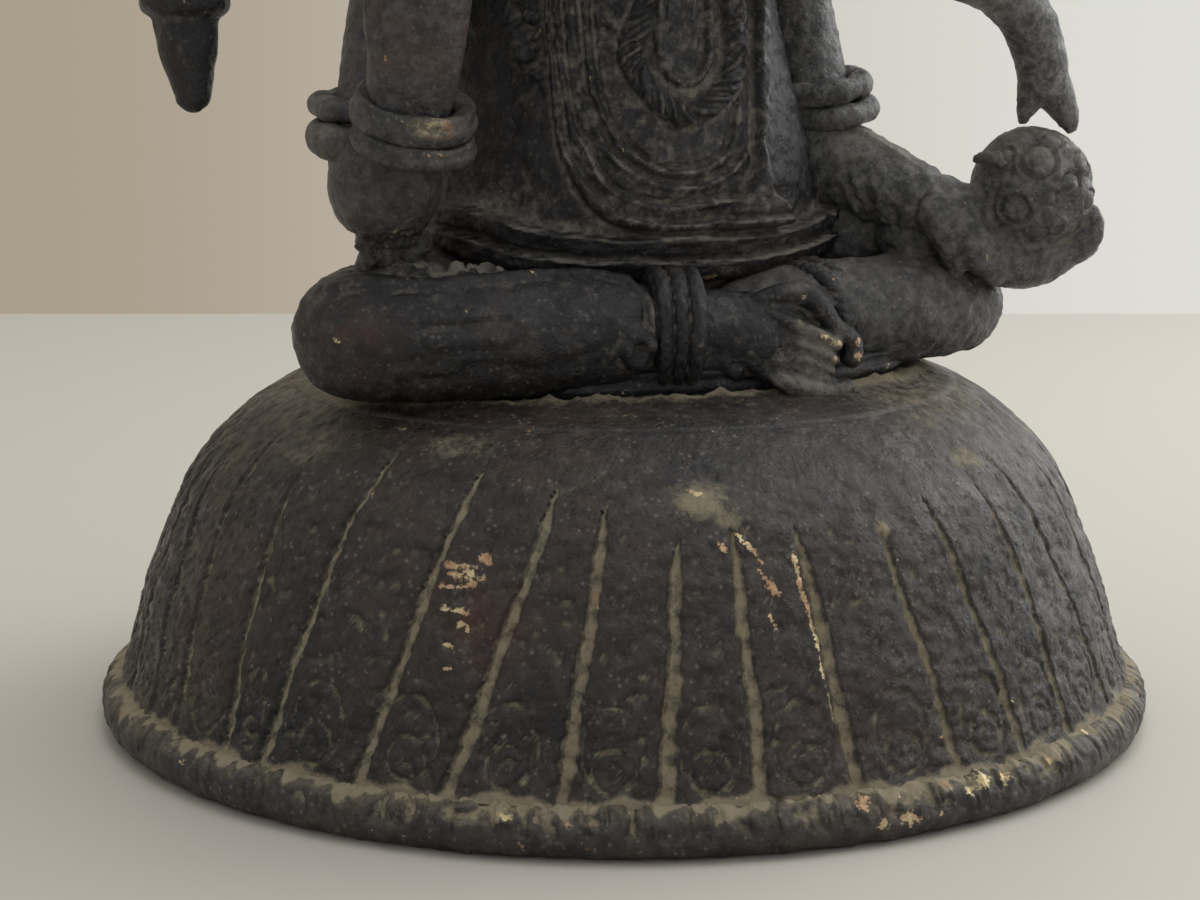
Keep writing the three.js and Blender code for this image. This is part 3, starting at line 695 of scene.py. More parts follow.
# lines on the body's front are (x, z), and run down its left side and then to the right, so that the
# distance across a line is positive on its inner side
chest = {
    "edge": [(-12.2, 95), (-12.7, 82), (-13.0, 73.9), (-13.2, 69.9), (-13.2, 67.2), (-12.7, 63.6),
             (-11.3, 60.5), (-9.4, 58.2), (-6.9, 56.9), (-3.4, 56.3), (3, 56.3), (12, 56.5)],
    "grooves": [
        [(-11.6, 95), (-12.2, 82), (-12.5, 73.9), (-12.4, 69.5), (-12.3, 65.9), (-11.2, 62.8), (-9.7, 60.5),
         (-7.8, 58.7), (-5.9, 58.0), (-3, 57.5), (-0.3, 57.4), (3.3, 57.7), (7.2, 57.8), (11.5, 57.7)],
        [(-10.5, 95), (-11.2, 82), (-11.6, 73.9), (-11.5, 69.5), (-11, 67.3), (-10, 65), (-9.1, 62.5),
         (-7.3, 60.7), (-4.7, 59.8), (-2.6, 59.4), (-0.3, 59.5), (2.1, 59.7), (5.6, 60.0)],
        [(-8.6, 95), (-9.6, 82), (-10, 73.9), (-10.1, 71.7), (-9.6, 69.5), (-8.9, 67.3), (-8.2, 65.3),
         (-6.8, 63.7), (-4.7, 62.3), (-2.5, 61.6), (-0.2, 61.4), (2.2, 61.9), (4.7, 63.2), (6.0, 64.4)],
        [(-7.2, 95), (-8.2, 82), (-8.7, 76), (-8.7, 71.7), (-8.4, 69.5), (-7.4, 67.3), (-6.2, 65.4),
         (-4.2, 63.8), (-2.5, 63.2), (-0.2, 63.1), (2, 63.6), (4.1, 65), (5.0, 66.6), (5.9, 69.5)],
    ],
    "grooveDeep": 0.62,
    "lipLift": 0.5,
    "sunk": 1.0,
    "plateLift": 0.8,
    "rope": [(-2.2, 95), (-2.6, 84), (-2.9, 80), (-4, 78), (-5, 76.2), (-5.2, 73.9), (-3.9, 71.7),
             (-2.6, 69.9), (-1, 68.8), (0.9, 68.9), (3.3, 70.2), (5, 71.8), (5.9, 73.8), (6.5, 77.2),
             (6.9, 80.6), (7.4, 95)],
    "ropeWidth": 1.25,
    "ropeLift": 1.35,
    "ropePitch": 1.8,
    "tongue": [(-1.1, 95), (-1.5, 80.7), (-2.1, 76.2), (-2, 74.1), (-1.4, 72.8), (-0.1, 72), (1.4, 72.4),
               (2.7, 73.8), (3.5, 76.1), (4.2, 80.6), (4.8, 95)],
    "panel": [(-0.4, 95), (-0.8, 80.7), (-1.7, 74.4), (-0.9, 73.2), (0.2, 72.9), (1.3, 73.3), (2.0, 76.2),
              (2.5, 80.6), (3.0, 95)],
    "tongueWidth": 0.55,
    "tongueLift": 0.7,
    "thinLine": [(8.2, 95), (7.8, 80.6), (7.1, 76), (7.2, 71.5), (6.5, 67), (6, 64.7)],
    "ridgeLeft": [(10.0, 95), (9.6, 80.5), (8.4, 73.7), (7.8, 69.2), (7.4, 65.8), (7.4, 63.5), (5.7, 60.1)],
    "ridgeRight": [(12.4, 95), (11.4, 80.5), (10.3, 73.6), (9.3, 69.1), (8.7, 65.7), (8.9, 62.7),
                   (9.5, 60.4), (11.3, 59.3), (11.8, 57.6), (12.0, 56.4)],
    "ridgeLift": 1.5,
    "crust": [(-14.6, 95), (-15.2, 81), (-15.0, 73)],
}
belt = {
    "lips": [
        [(-25, 59.0), (-21.5, 58.6), (-18.5, 57.8), (-16.7, 57), (-13.7, 56.3), (-11, 56.1), (-7.9, 55.7),
         (-4.7, 55.7), (-0.2, 55.8), (4.7, 55.6), (7.4, 55.6), (11.7, 55.9), (18, 56.8), (25, 58)],
        [(-25, 56.4), (-22, 55.8), (-19.3, 54.9), (-16.7, 54.0), (-13.7, 53.7), (-10.9, 53.4), (-7.8, 53.4),
         (-4.6, 53.4), (0, 53.0), (4.9, 53.2), (11.9, 53.6), (18, 54.3), (25, 55.5)],
    ],
    "width": 2.1,
    "lift": 1.3,
}


def bodySection(z):
    rows = np.array(body["rows"])
    return [splineThrough(rows[:, 0], rows[:, k], z).reshape(-1, 1) for k in (1, 2, 3)]


def acrossLine(place, line):
    # distance from a flat line, positive to the left of its run, with the share of the way along it
    line = smoothLine(line, 40)
    far, along = distanceToLine(place, line)
    length = np.linalg.norm(np.diff(line, axis=0), axis=1)
    step = np.clip(np.searchsorted(np.cumsum(length), along), 0, len(length) - 1)
    toward, offset = np.diff(line, axis=0)[step], place - line[step]
    side = toward[..., 0] * offset[..., 1] - toward[..., 1] * offset[..., 0]
    return np.where(side > 0, far, -far), along


def chestRelief(place, flat):
    # a sunk ground, and on it a plate that the grooves part into bands; each band's inner edge is a
    # raised lip. The rope, the tongue and the ridge at the right lie on the plate. The second value is
    # the dust on lips and edges
    x, z = place[..., 0], place[..., 1]
    worn = 0.75 + 0.5 * castNoise(flat, 1.5, 4.0, 2)
    wander = 0.06 * castNoise(flat, 2.2, 33.0, 2)
    past, _ = acrossLine(place, chest["edge"])
    rightOf, _ = acrossLine(place, chest["ridgeRight"])
    plate = ease(-0.45, 0.35, past + wander) * (1 - ease(-0.35, 0.45, rightOf + wander))
    out = (chest["plateLift"] + chest["sunk"]) * plate - chest["sunk"]
    powder = ease(-0.3, 0.7, castNoise(flat, 1.0, 39.0, 3))
    dust = np.maximum(0.25 * softRidge(past - 0.2, 0.5) * ease(66, 62, z), (0.22 + 0.26 * powder) * plate)
    coarse = ease(-5, -8, x) * ease(64, 69, z)
    beads = 1 - 0.5 * coarse * ease(-0.2, 0.5, castNoise(flat * np.array([0.6, 1, 1.3]), 1.1, 34.0, 2))
    for line in chest["grooves"]:
        past, _ = acrossLine(place, line)
        past = past + wander
        out = out - chest["grooveDeep"] * softRidge(past - 0.18, 0.42) * plate
        out = out + chest["lipLift"] * softRidge(past + 0.42, 0.62) * worn * beads * plate
        dust = np.maximum(dust, softRidge(past + 0.30, 0.34) * plate * (0.8 - 0.45 * coarse) * worn)
    past, along = acrossLine(place, chest["rope"])
    turns = (along + 1.1 * past) / chest["ropePitch"] + 0.25 * np.sin(along * 0.9)
    twist = 0.72 + 0.28 * np.sin(turns * 2 * math.pi) + 0.25 * castNoise(flat, 0.9, 35.0, 2)
    raised = chest["plateLift"] + 0.3 + chest["ropeLift"] * roundRidge(past, chest["ropeWidth"]) * twist
    out = np.where(np.abs(past) < chest["ropeWidth"], np.maximum(out * 0.2, raised), out)
    dust = np.where(np.abs(past) < chest["ropeWidth"], 0.45 * ease(0.8, 1.0, twist), dust)
    past, _ = acrossLine(place, chest["tongue"])
    out = out + chest["tongueLift"] * roundRidge(past, chest["tongueWidth"])
    dust = np.maximum(dust, 0.45 * softRidge(past, 0.5))
    past, _ = acrossLine(place, chest["panel"])
    out = out + 0.45 * ease(-0.3, 0.25, past)
    past, _ = acrossLine(place, chest["thinLine"])
    out = out + 0.45 * roundRidge(past, 0.42) * worn
    leftOf, _ = acrossLine(place, chest["ridgeLeft"])
    ridge = ease(-0.1, 0.5, leftOf + wander) * (1 - ease(-0.5, 0.1, rightOf + wander)) * ease(55.5, 57, z)
    out = out + chest["ridgeLift"] * ridge * (0.85 + 0.15 * worn)
    dust = np.maximum(dust, 0.5 * softRidge(rightOf + 0.3, 0.6) * ridge)
    low = softRidge(np.hypot((x - 9.4) / 2.6, (z - 59.4) / 1.6), 1)
    dust = np.maximum(dust, 0.5 * low)
    far, _ = distanceToLine(place, smoothLine(chest["crust"], 20))
    crusted = softRidge(far, 2.4)
    out = out + crusted * (0.8 + 1.6 * castNoise(flat, 1.5, 14.0, 3))
    out = out + (0.13 + 0.32 * coarse) * castNoise(flat, 1.0, 15.0, 3) * plate
    return out, dust


def beltRelief(place, flat, out, dust):
    # each belt is a band hung from its lip: steepest at the lip, and sloping back below it
    for line in belt["lips"]:
        past, _ = acrossLine(place, line)
        past = past + 0.1 * castNoise(flat, 2.4, 36.0, 2)
        profile = belt["lift"] * (1 - 0.35 * np.clip(-past / belt["width"], 0, 1))
        inside = ease(0.28, -0.1, past) * ease(-belt["width"] - 0.5, -belt["width"] + 0.2, past)
        profile = profile + 0.18 * castNoise(flat * np.array([0.4, 1, 1.6]), 1.0, 37.0, 2)
        out = out * (1 - inside) + inside * profile
        lipDust = softRidge(past + 0.12, 0.38) * (0.62 + 0.6 * castNoise(flat, 2.0, 38.0, 2))
        dust = np.maximum(dust * (1 - inside), lipDust)
    return out, dust


def buildBody():
    start = body["rows"][0][0] + 0.2
    heights = []
    for top, count in body["rowsUpTo"]:
        heights.append(np.linspace(start, top, count, endpoint=False))
        start = top
    z = np.concatenate(heights)[:, None]
    front = np.linspace(-95, 95, body["frontColumns"], endpoint=False)
    back = np.linspace(95, 265, body["backColumns"], endpoint=False)
    angle = np.r_[front, back][None, :] * degrees
    wide, deep, behindBy = bodySection(z.ravel())
    x, y = wide * np.sin(angle), behindBy - deep * np.cos(angle)
    tall = z * np.ones(x.shape)
    isFront = ease(0.0, 0.35, np.cos(angle)) * np.ones(x.shape)
    place, flat = np.stack([x, tall], axis=-1), np.stack([x, y, tall], axis=-1)
    out, dust = chestRelief(place, flat)
    out, dust = beltRelief(place, flat, out, dust)
    out = out * isFront + castNoise(flat, 1.6, 12.0, 3) * 0.22
    normal = np.stack([np.sin(angle) / wide, -np.cos(angle) / deep, np.zeros(x.shape)], axis=-1)
    normal /= np.linalg.norm(normal, axis=-1)[..., None]
    grid = flat + normal * out[..., None]
    ends = (np.array([0, 1.5, z[0, 0]]), np.array([0, 1, z[-1, 0]]))
    piece = gridPiece("bodyAndCords", [(grid, ends)])
    writeValue(piece.data, "lineDust", np.r_[np.clip(dust * isFront, 0, 1).ravel(), 0, 0])
    # dust and crumbs sit low on the left of the ground, above the belt
    heap = softRidge(np.hypot((x + 18.5) / 7.5, (tall - 59.4) / 4.6), 1.2)
    heap = heap + 0.5 * softRidge(x + 15.0, 2.4) * ease(73, 76, tall)
    writeValue(piece.data, "heapDustAndSideLight", np.r_[np.clip(heap * isFront * 0.5, 0, 1).ravel(), 0, 0])
    return piece


buildBody()

# Crossed legs, the mound they rest on, anklets and the right foot

legs = {
    "rightLeg": {
        "path": [(-10, 8, 48.5), (-22, -1, 47.5), (-31.2, -8.6, 46.8), (-34.9, -12.8, 46.1),
                 (-30.6, -17.4, 46.1), (-22, -19.9, 46.2), (-12, -21.4, 46.1), (-3, -22.8, 46),
                 (5.6, -24.0, 45.6)],
        "radii": [10, 9, 7.3, 6.3, 6.3, 6.2, 5.9, 5.0, 4.6],
    },
    "leftLeg": {
        "path": [(10, 8, 48.5), (22, 0, 47.8), (33, -6.6, 46.9), (36.6, -10.4, 46.4), (31, -14.2, 46.3),
                 (24, -16.4, 46.6), (16, -17.8, 46.8), (8, -17, 46.2)],
        "radii": [10, 8.8, 6.6, 5.4, 5.7, 5.9, 5.6, 5.0],
    },
    # the garment's hem: a thin lip along the top of the shin that turns down beside the anklet
    "hem": [(-38.5, -15, 51.3), (-35.4, -17.3, 51.8), (-29.4, -20.9, 51.6), (-24.5, -21.6, 52),
            (-19.1, -21.6, 52.2), (-12.2, -21.2, 52), (-8.2, -23.4, 51.6), (-7, -26, 50.2),
            (-6.9, -27.6, 47.9), (-7.2, -27.8, 45.5)],
    "hemWidth": 0.8,
    "hemLift": 0.6,
    "folds": [
        [(-26, -26.6, 44.0), (-17, -27.6, 43.6), (-10, -28, 45.4)],
        [(-33, -23, 43.4), (-26, -26, 43.2), (-20, -27, 42.8)],
        [(-36, -19, 48.4), (-28, -24.6, 49.2), (-18, -26.4, 50.0)],
        [(-30, -24.6, 46.6), (-22, -26.6, 47.0)],
    ],
    # crumbs and dirt on top of the thigh, between the belt and the hem
    "debrisAt": (-25.5, -15, 52.5),
    "debrisReach": (8.5, 6.5, 3.5),
    "ankletAt": [(-5.6, -22.4, 46.5), (-3.0, -22.9, 46.5), (-0.6, -23.4, 46.4)],
    "ankletRadius": 5.9,
}


def tubeRelief(base, folds):
    def relief(points, normals):
        out = base * castNoise(points * np.array([0.5, 1, 1]), 2.6, 51.0, 3)
        for line in folds:
            far, _ = distanceToLine(points, smoothLine(line, 30))
            out = out + 0.14 * softRidge(far, 1.3) - 0.2 * softRidge(far - 1.2, 0.8)
        return out
    return relief


def buildRightLeg():
    hem = smoothLine(legs["hem"], 60)
    folded = tubeRelief(0.13, legs["folds"])

    def relief(points, normals):
        far, _ = distanceToLine(points, hem)
        lip = legs["hemLift"] * roundRidge(far, legs["hemWidth"])
        cloth = 0.45 * (1 - ease(-8.2, -7.4, points[:, 0])) * ease(-6, -12, points[:, 1])
        dents = sum(softRidge(np.linalg.norm(points - at, axis=1), 1.5)
                    for at in ((-38.6, -14.8, 50.6), (-39.9, -14.2, 48.4)))
        knot = np.linalg.norm(points - np.array([-8.6, -27.6, 45.2]), axis=1)
        ring = 0.9 * roundRidge(knot - 1.35, 0.8) - 0.5 * softRidge(knot, 0.9)
        lumps = debris(points) * (1.1 * ease(-0.1, 0.6, castNoise(points, 1.2, 52.0, 3)) + 0.15)
        return folded(points, normals) + lip + cloth - 0.4 * dents + ring + lumps

    def debris(points):
        far = np.linalg.norm((points - np.array(legs["debrisAt"])) / np.array(legs["debrisReach"]), axis=1)
        return 1 - ease(0.6, 1.05, far)

    leg = limbSurface(**legs["rightLeg"], rows=300, sides=104)
    piece = gridPiece("rightLeg", [leg], (0.14, 1.1), relief)
    points = pointsOf(piece.data)
    far, _ = distanceToLine(points, hem)
    writeValue(piece.data, "lineDust", (0.5 + 0.5 * castNoise(points, 2.6, 53.0, 2)) * softRidge(far, 0.95))
    writeValue(piece.data, "heapDustAndSideLight", 0.95 * debris(points) + 0.25 * ease(-32, -39, points[:, 0]))
    at = np.array([-38.4, -19.4, 46.4])
    writeValue(piece.data, "redness", softRidge(np.linalg.norm((points - at) * [0.5, 0.5, 1], axis=1), 6))
    writeValue(piece.data, "bareMetal", np.clip(1 - np.linalg.norm(points - at, axis=1) / 1.4, 0, 1))
    writeValue(piece.data, "verdigris",
               softRidge(np.linalg.norm((points - [-14.8, -24.6, 50.6]) * [0.6, 1, 1], axis=1), 1.3))


def buildLeftLeg():
    leg = limbSurface(**legs["leftLeg"], rows=160, sides=90)
    hips = [eggSurface((26, -4, 54), (8, 6, 6)), eggSurface((31, -11.2, 54), (4.8, 4.2, 3.6))]
    folds = [
        [(33, -19, 49), (28, -21.6, 46), (25, -22, 42.5)],
        [(29, -20, 50.6), (24, -22.6, 47), (21.6, -23, 43)],
        [(37, -15, 49.2), (33.6, -18.8, 46), (31, -19.6, 42)],
    ]
    piece = castPiece("leftLeg", [leg, *hips], 0.43, 2, (0.18, 1.2), tubeRelief(0.2, folds))
    points = pointsOf(piece.data)
    writeValue(piece.data, "heapDustAndSideLight", 0.25 * ease(49, 53, points[:, 2]))


def buildMound():
    outline = smoothPath(np.array(mound["profile"], float), np.linspace(0, 1, 22))
    ring, tips = turnedSurface(outline, np.linspace(0, 2 * math.pi, 230, endpoint=False))
    ring = ring * np.array([mound["half"][0], mound["half"][1], 1]) + np.array(mound["centre"])
    centre = np.array(mound["centre"], float)
    gridPiece("mound", [(ring, (tips[0] + centre, tips[1] + centre))], (0.3, 1.8))


def ankletRelief(t, angle):
    # three round bands side by side, with rope marks worn into them
    within = np.mod(t * 3, 1) * 2 - 1
    bands = 0.85 * roundRidge(within, 1) ** 0.8
    marks = 0.03 * np.sin(angle * 26 + t * 30)
    return (bands + marks * ease(0.02, 0.1, t)) * ease(0.0, 0.04, t) * (1 - ease(0.96, 1.0, t))


def buildAnklets():
    right = limbSurface(legs["ankletAt"], [legs["ankletRadius"]] * 3, rows=56, sides=110, domes=(0.10, 0.10),
                        relief=ankletRelief)

    def twisted(turn, s):
        return 0.09 * np.sin(turn * 34 + 2 * s) + 0.05 * np.sin(turn * 9)

    hoops = [
        hoopSurface((14.0, -18.2, 46.2), 5.4, 1.0, 1.0, lean=(0.86, 0.5, 0.05), rows=160, sides=16,
                    relief=twisted),
        hoopSurface((15.8, -17.3, 46.2), 5.7, 0.95, 0.95, lean=(0.88, 0.46, 0.05), rows=160, sides=16,
                    relief=twisted),
    ]
    piece = gridPiece("anklets", [right, *hoops], (0.14, 0.9))
    points = pointsOf(piece.data)
    spots = [((18.2, -23.6, 48.2), 1.0), ((18.6, -23.6, 46.9), 1.0)]
    writeValue(piece.data, "bareMetal", chipsOn(points, spots, spread=1.3))


def buildFoot():
    # a low slab from the ankle, five toes side by side, and the great toe arching over them
    toes = [
        {"path": [(5.7, -26.8, 48.3), (10.1, -28.3, 46.4), (13.5, -28.2, 44.7)],
         "radii": [0.75, 0.82, 0.74]},
        {"path": [(6.6, -27.1, 45.9), (10.5, -28.5, 44.6), (13.1, -28.4, 43.2)],
         "radii": [0.62, 0.66, 0.62]},
        {"path": [(6.6, -27.2, 44.4), (10.1, -28.5, 43.2), (12.8, -28.3, 42.0)], "radii": [0.6, 0.63, 0.6]},
        {"path": [(6.4, -27.2, 43.2), (10.3, -28.4, 41.8), (13, -28.1, 40.9)], "radii": [0.6, 0.64, 0.6]},
        {"path": [(5.7, -27.2, 42.0), (8.7, -28.2, 40.6), (12.5, -28.0, 39.7), (14.9, -27.6, 40.0)],
         "radii": [1.0, 1.2, 1.2, 1.1]},
        {"path": [(5.1, -25.6, 49.2), (7.7, -26.2, 50.0), (10.5, -26.8, 49.9), (12.5, -27.2, 48.3),
                  (13.9, -27.4, 46.3), (15.6, -27.4, 45.0), (15.7, -27.4, 43.2)],
                  "radii": [0.9, 1.15, 1.25, 1.2, 1.1, 1.1, 1.25]},
    ]
    surfaces = [
        limbSurface([(-2.5, -23.6, 45.9), (3, -24.4, 45.4), (7.6, -25.2, 45.2)], [4.6, 4.5, 4.4], rows=30,
                    sides=60,
                    stretch=(0.72, 1.02), square=3),
        eggSurface((9.2, -25.2, 45.0), (5.6, 2.5, 4.6)),
        *[limbSurface(**toe, rows=36, sides=28) for toe in toes],
    ]

    def relief(points, normals):
        middle = softRidge(points[:, 0] - 3.2, 4.5) * ease(49, 47.5, points[:, 2])
        return 0.45 * middle * castNoise(points, 1.2, 71.0, 2) * ease(-26, -27, points[:, 1])

    piece = castPiece("rightFoot", surfaces, 0.24, 1, (0.08, 0.8), relief)
    points = pointsOf(piece.data)
    spots = (((11.9, -29.2, 45.8), 1.0), ((13.5, -29.0, 44.9), 0.9), ((16.0, -28.5, 43.4), 0.9),
             ((16.0, -28.4, 45.0), 0.7), ((13.2, -29.1, 43.3), 0.6), ((9.9, -28.0, 50.0), 0.5))
    writeValue(piece.data, "bareMetal", chipsOn(points, spots))
    heap = 0.7 * softRidge(np.linalg.norm(points - np.array([9.6, -26.6, 50.4]), axis=1), 3.0)
    toeTops = 0.62 * ease(-27.7, -29.0, points[:, 1])
    writeValue(piece.data, "heapDustAndSideLight", np.maximum(heap, toeTops))


buildRightLeg()
buildLeftLeg()
buildMound()
buildAnklets()
buildFoot()

# Front right arm: upper arm behind, forearm raised in front of it, an open hand

rightArm = {
    "upper": {"path": [(-17, 1, 92), (-24.7, -0.5, 84), (-29.2, -4, 73), (-31.6, -9.5, 64)],
              "radii": [7, 5.6, 4.5, 5.0]},
    "elbow": {"at": (-31.3, -12.0, 61.8), "size": (6.0, 5.9, 6.5)},
    "fore": {"path": [(-31.0, -14.4, 64), (-30.4, -17.0, 69), (-29.8, -18.6, 75), (-29.6, -19.8, 81),
                      (-29.2, -21, 91)],
             "radii": [3.5, 4.1, 4.7, 4.9, 3.5]},
    "strap": {"path": [(-33.8, -20.6, 89), (-34.4, -20.4, 80), (-34.0, -20.4, 76), (-33.4, -20.6, 72.6)],
              "radii": [0.9, 1.1, 1.2, 1.0]},
    "stay": {"path": [(-33.5, -12.6, 58.5), (-33.8, -12.4, 51)], "radii": [0.7, 0.8]},
    # a clot of dirt that fills the gap between elbow and thigh
    "clot": {"at": (-29.6, -9.6, 54.4), "size": (3.8, 3.4, 3.2)},
    "bracelets": [
        {"at": (-29.4, -16.6, 69.3), "radius": 5.4, "height": 1.75, "thick": 1.3},
        {"at": (-29.4, -16.4, 66.5), "radius": 5.4, "height": 1.25, "thick": 1.25},
    ],
    "braceletLean": (0.06, -0.35, 1),
    "armlets": [
        {"at": (-31.8, -6.4, 69.6), "radius": 4.5, "height": 1.35, "thick": 1.5},
        {"at": (-32.2, -7.8, 66.3), "radius": 4.8, "height": 1.9, "thick": 1.5},
    ],
    "armletLean": (0, -0.1, 1),
}


def openHand():
    # palm, four fingers side by side and a thumb
    hand = [
        eggSurface((-29, -21.4, 95.4), (4.5, 2.0, 5.6)),
        limbSurface([(-25.8, -21.4, 93), (-23.6, -22.4, 96.6), (-23.0, -23, 100)], [1.6, 1.35, 1.0], rows=24,
                    sides=24),
    ]
    for i in range(4):
        x = -29 + (i - 1.5) * 2.15
        top = 106.6 - 0.8 * abs(i - 1.2)
        hand.append(limbSurface([(x, -21.4, 96), (x, -22.2, 101), (x, -22.4, top)], [1.2, 1.15, 0.9],
                                rows=30, sides=24))
    return hand


def buildRightArm():
    surfaces = [
        limbSurface(**rightArm["upper"], rows=120, sides=72),
        limbSurface(**rightArm["fore"], rows=120, sides=80, facing=(0, -1, 0), stretch=(1.04, 0.94),
                    square=2.9),
        eggSurface(**rightArm["elbow"]),
        eggSurface(**rightArm["clot"]),
        limbSurface(**rightArm["strap"], rows=60, sides=24, stretch=(1, 1)),
        limbSurface(**rightArm["stay"], rows=24, sides=20),
        *openHand(),
    ]

    def crumbled(points, normals):
        # lumps of dirt under the elbow, as high as the noise, fading out upwards
        return 0.7 * castNoise(points, 1.0, 85.0, 3) * ease(57.8, 56.2, points[:, 2])

    piece = castPiece("rightArm", surfaces, 0.36, 2, (0.10, 1.6), crumbled)
    points = pointsOf(piece.data)
    spots = [((-34.0, -21.9, 77.4), 0.45), ((-33.7, -21.9, 75.0), 0.4), ((-33.4, -21.9, 72.9), 0.5)]
    writeValue(piece.data, "bareMetal", chipsOn(points, spots, weights=(1, 1, 0.5)))
    onArm = (points[:, 1] < -13) & (points[:, 2] > 69)
    writeValue(piece.data, "redness", 0.8 * onArm * ease(70, 74, points[:, 2]))
    writeValue(piece.data, "verdigris",
               softRidge(np.linalg.norm(points - [-31.4, -23.4, 72.4], axis=1), 1.1))
    # the outer side below the armlets is paler: some dust, and painted light on the side that faces left
    outwardDustAndSideLight = 0.3 * ease(-33, -36, points[:, 0]) * (points[:, 2] < 70)
    writeValue(piece.data, "heapDustAndSideLight", np.maximum(outwardDustAndSideLight, 0.3 * ease(57, 55.5, points[:, 2])))

    def lipped(turn, s):
        # a flange on the ring's upper edge, a groove under it, and small uneven swells round the ring
        flange = 0.34 * softRidge(s - 0.36 * math.pi, 0.42) - 0.22 * softRidge(s - 0.16 * math.pi, 0.34)
        return flange + 0.07 * np.sin(turn * 5 + 1) * np.ones_like(s)

    def uneven(turn, s):
        # seven low swells round the ring
        return 0.12 * np.sin(turn * 7) * np.ones_like(s)

    rings = [hoopSurface(**ring, lean=rightArm["braceletLean"], rows=180, sides=30, relief=lipped)
             for ring in rightArm["bracelets"]]
    rings += [hoopSurface(**ring, lean=rightArm["armletLean"], rows=160, sides=26, relief=uneven)
              for ring in rightArm["armlets"]]
    piece = gridPiece("rightArmRings", rings, (0.08, 1.4))
    points = pointsOf(piece.data)
    gold = softRidge(np.linalg.norm((points - np.array([-28.6, -22.8, 68.2])) * [0.5, 0.5, 1.2], axis=1),
                     2.1)
    writeValue(piece.data, "rubbed", gold)
    spots = [((-23.8, -20.6, 69.9), 0.5), ((-33.4, -19.6, 70.0), 0.4), ((-36.6, -8.4, 67.0), 0.6),
             ((-25.2, -20.8, 66.6), 0.5)]
    bare = chipsOn(points, spots)
    worn = [(-34.0, -20.4, 69.6), (-31.0, -22.6, 69.0), (-27.0, -22.9, 69.6), (-24.2, -21.0, 70.6)]
    far, _ = distanceToLine(points, smoothLine(worn, 24))
    bare = np.maximum(bare, 0.75 * (1 - far / 0.7) * (0.9 + 0.6 * castNoise(points, 1.6, 54.0, 2)))
    writeValue(piece.data, "bareMetal", np.clip(bare, 0, 1))
    # the rings' outer side is paler: dust, and painted light on the side that faces left
    outwardDustAndSideLight = ease(-34.5, -37, points[:, 0])
    writeValue(piece.data, "heapDustAndSideLight", 0.5 * outwardDustAndSideLight)


buildRightArm()

# Front left arm, its hand, and the heap of sweets in it

leftArm = {
    "upper": {"path": [(17, 1, 92), (19.8, -0.4, 82), (21.7, -2.2, 71), (22, -3.6, 62.6)],
              "radii": [7, 4.6, 4.3, 5.0]},
    "fore": {"path": [(22.2, -3.6, 62.8), (27, -9, 60.2), (31.4, -13.6, 57.8), (35.4, -16.2, 56.8)],
             "radii": [5.4, 4.8, 4.1, 3.2]},
    "heap": {"at": (42.6, -17, 59.6), "size": (6.8, 6.75, 6.8)},
    "hand": [
        {"path": [(30.6, -16.6, 57.4), (31.8, -18.2, 54.4), (33.0, -17.6, 50.8)], "radii": [2.4, 1.9, 1.2]},
        {"path": [(33.0, -17.4, 57.0), (34.6, -19.2, 53.4), (37.4, -18.6, 50.6)], "radii": [2.6, 2.3, 1.7]},
        {"path": [(35.0, -16.0, 54.6), (39.4, -16.6, 52.0), (43.9, -17.4, 51.8), (47.6, -18, 53.2)],
         "radii": [3.0, 3.6, 3.2, 2.2]},
        {"path": [(46.4, -18.8, 52.0), (48.8, -19.4, 54.2), (49.0, -19.4, 56.8)], "radii": [1.5, 1.7, 1.0]},
        {"path": [(36.4, -20.8, 62.9), (35.8, -19.2, 63.2), (35.2, -17.6, 62.9)], "radii": [0.7, 0.8, 0.5]},
    ],
    # sweets that stand out of the heap: middle on its surface and radius
    "sweets": [((40.5, -22.3, 63.0), 2.3), ((37.8, -21.9, 57.5), 2.0), ((43.8, -23.4, 60.5), 1.45),
               ((41.4, -23.5, 59.1), 1.0), ((46.0, -22.0, 62.5), 1.6), ((46.8, -21.6, 58.5), 1.5),
               ((37.2, -20.0, 63.9), 1.5), ((42.8, -21.0, 65.1), 1.4)],
    "fingertip": ((43.0, -23.2, 55.4), 1.3),
    "armlets": [
        {"at": (22.8, -3.4, 70.5), "radius": 4.4, "height": 1.45, "thick": 1.4},
        {"at": (23.4, -3.8, 67.8), "radius": 4.45, "height": 1.45, "thick": 1.4},
    ],
    # where the sleeve ends on the forearm
    "sleeveEnd": (31.2, -13.4, 58.0),
}


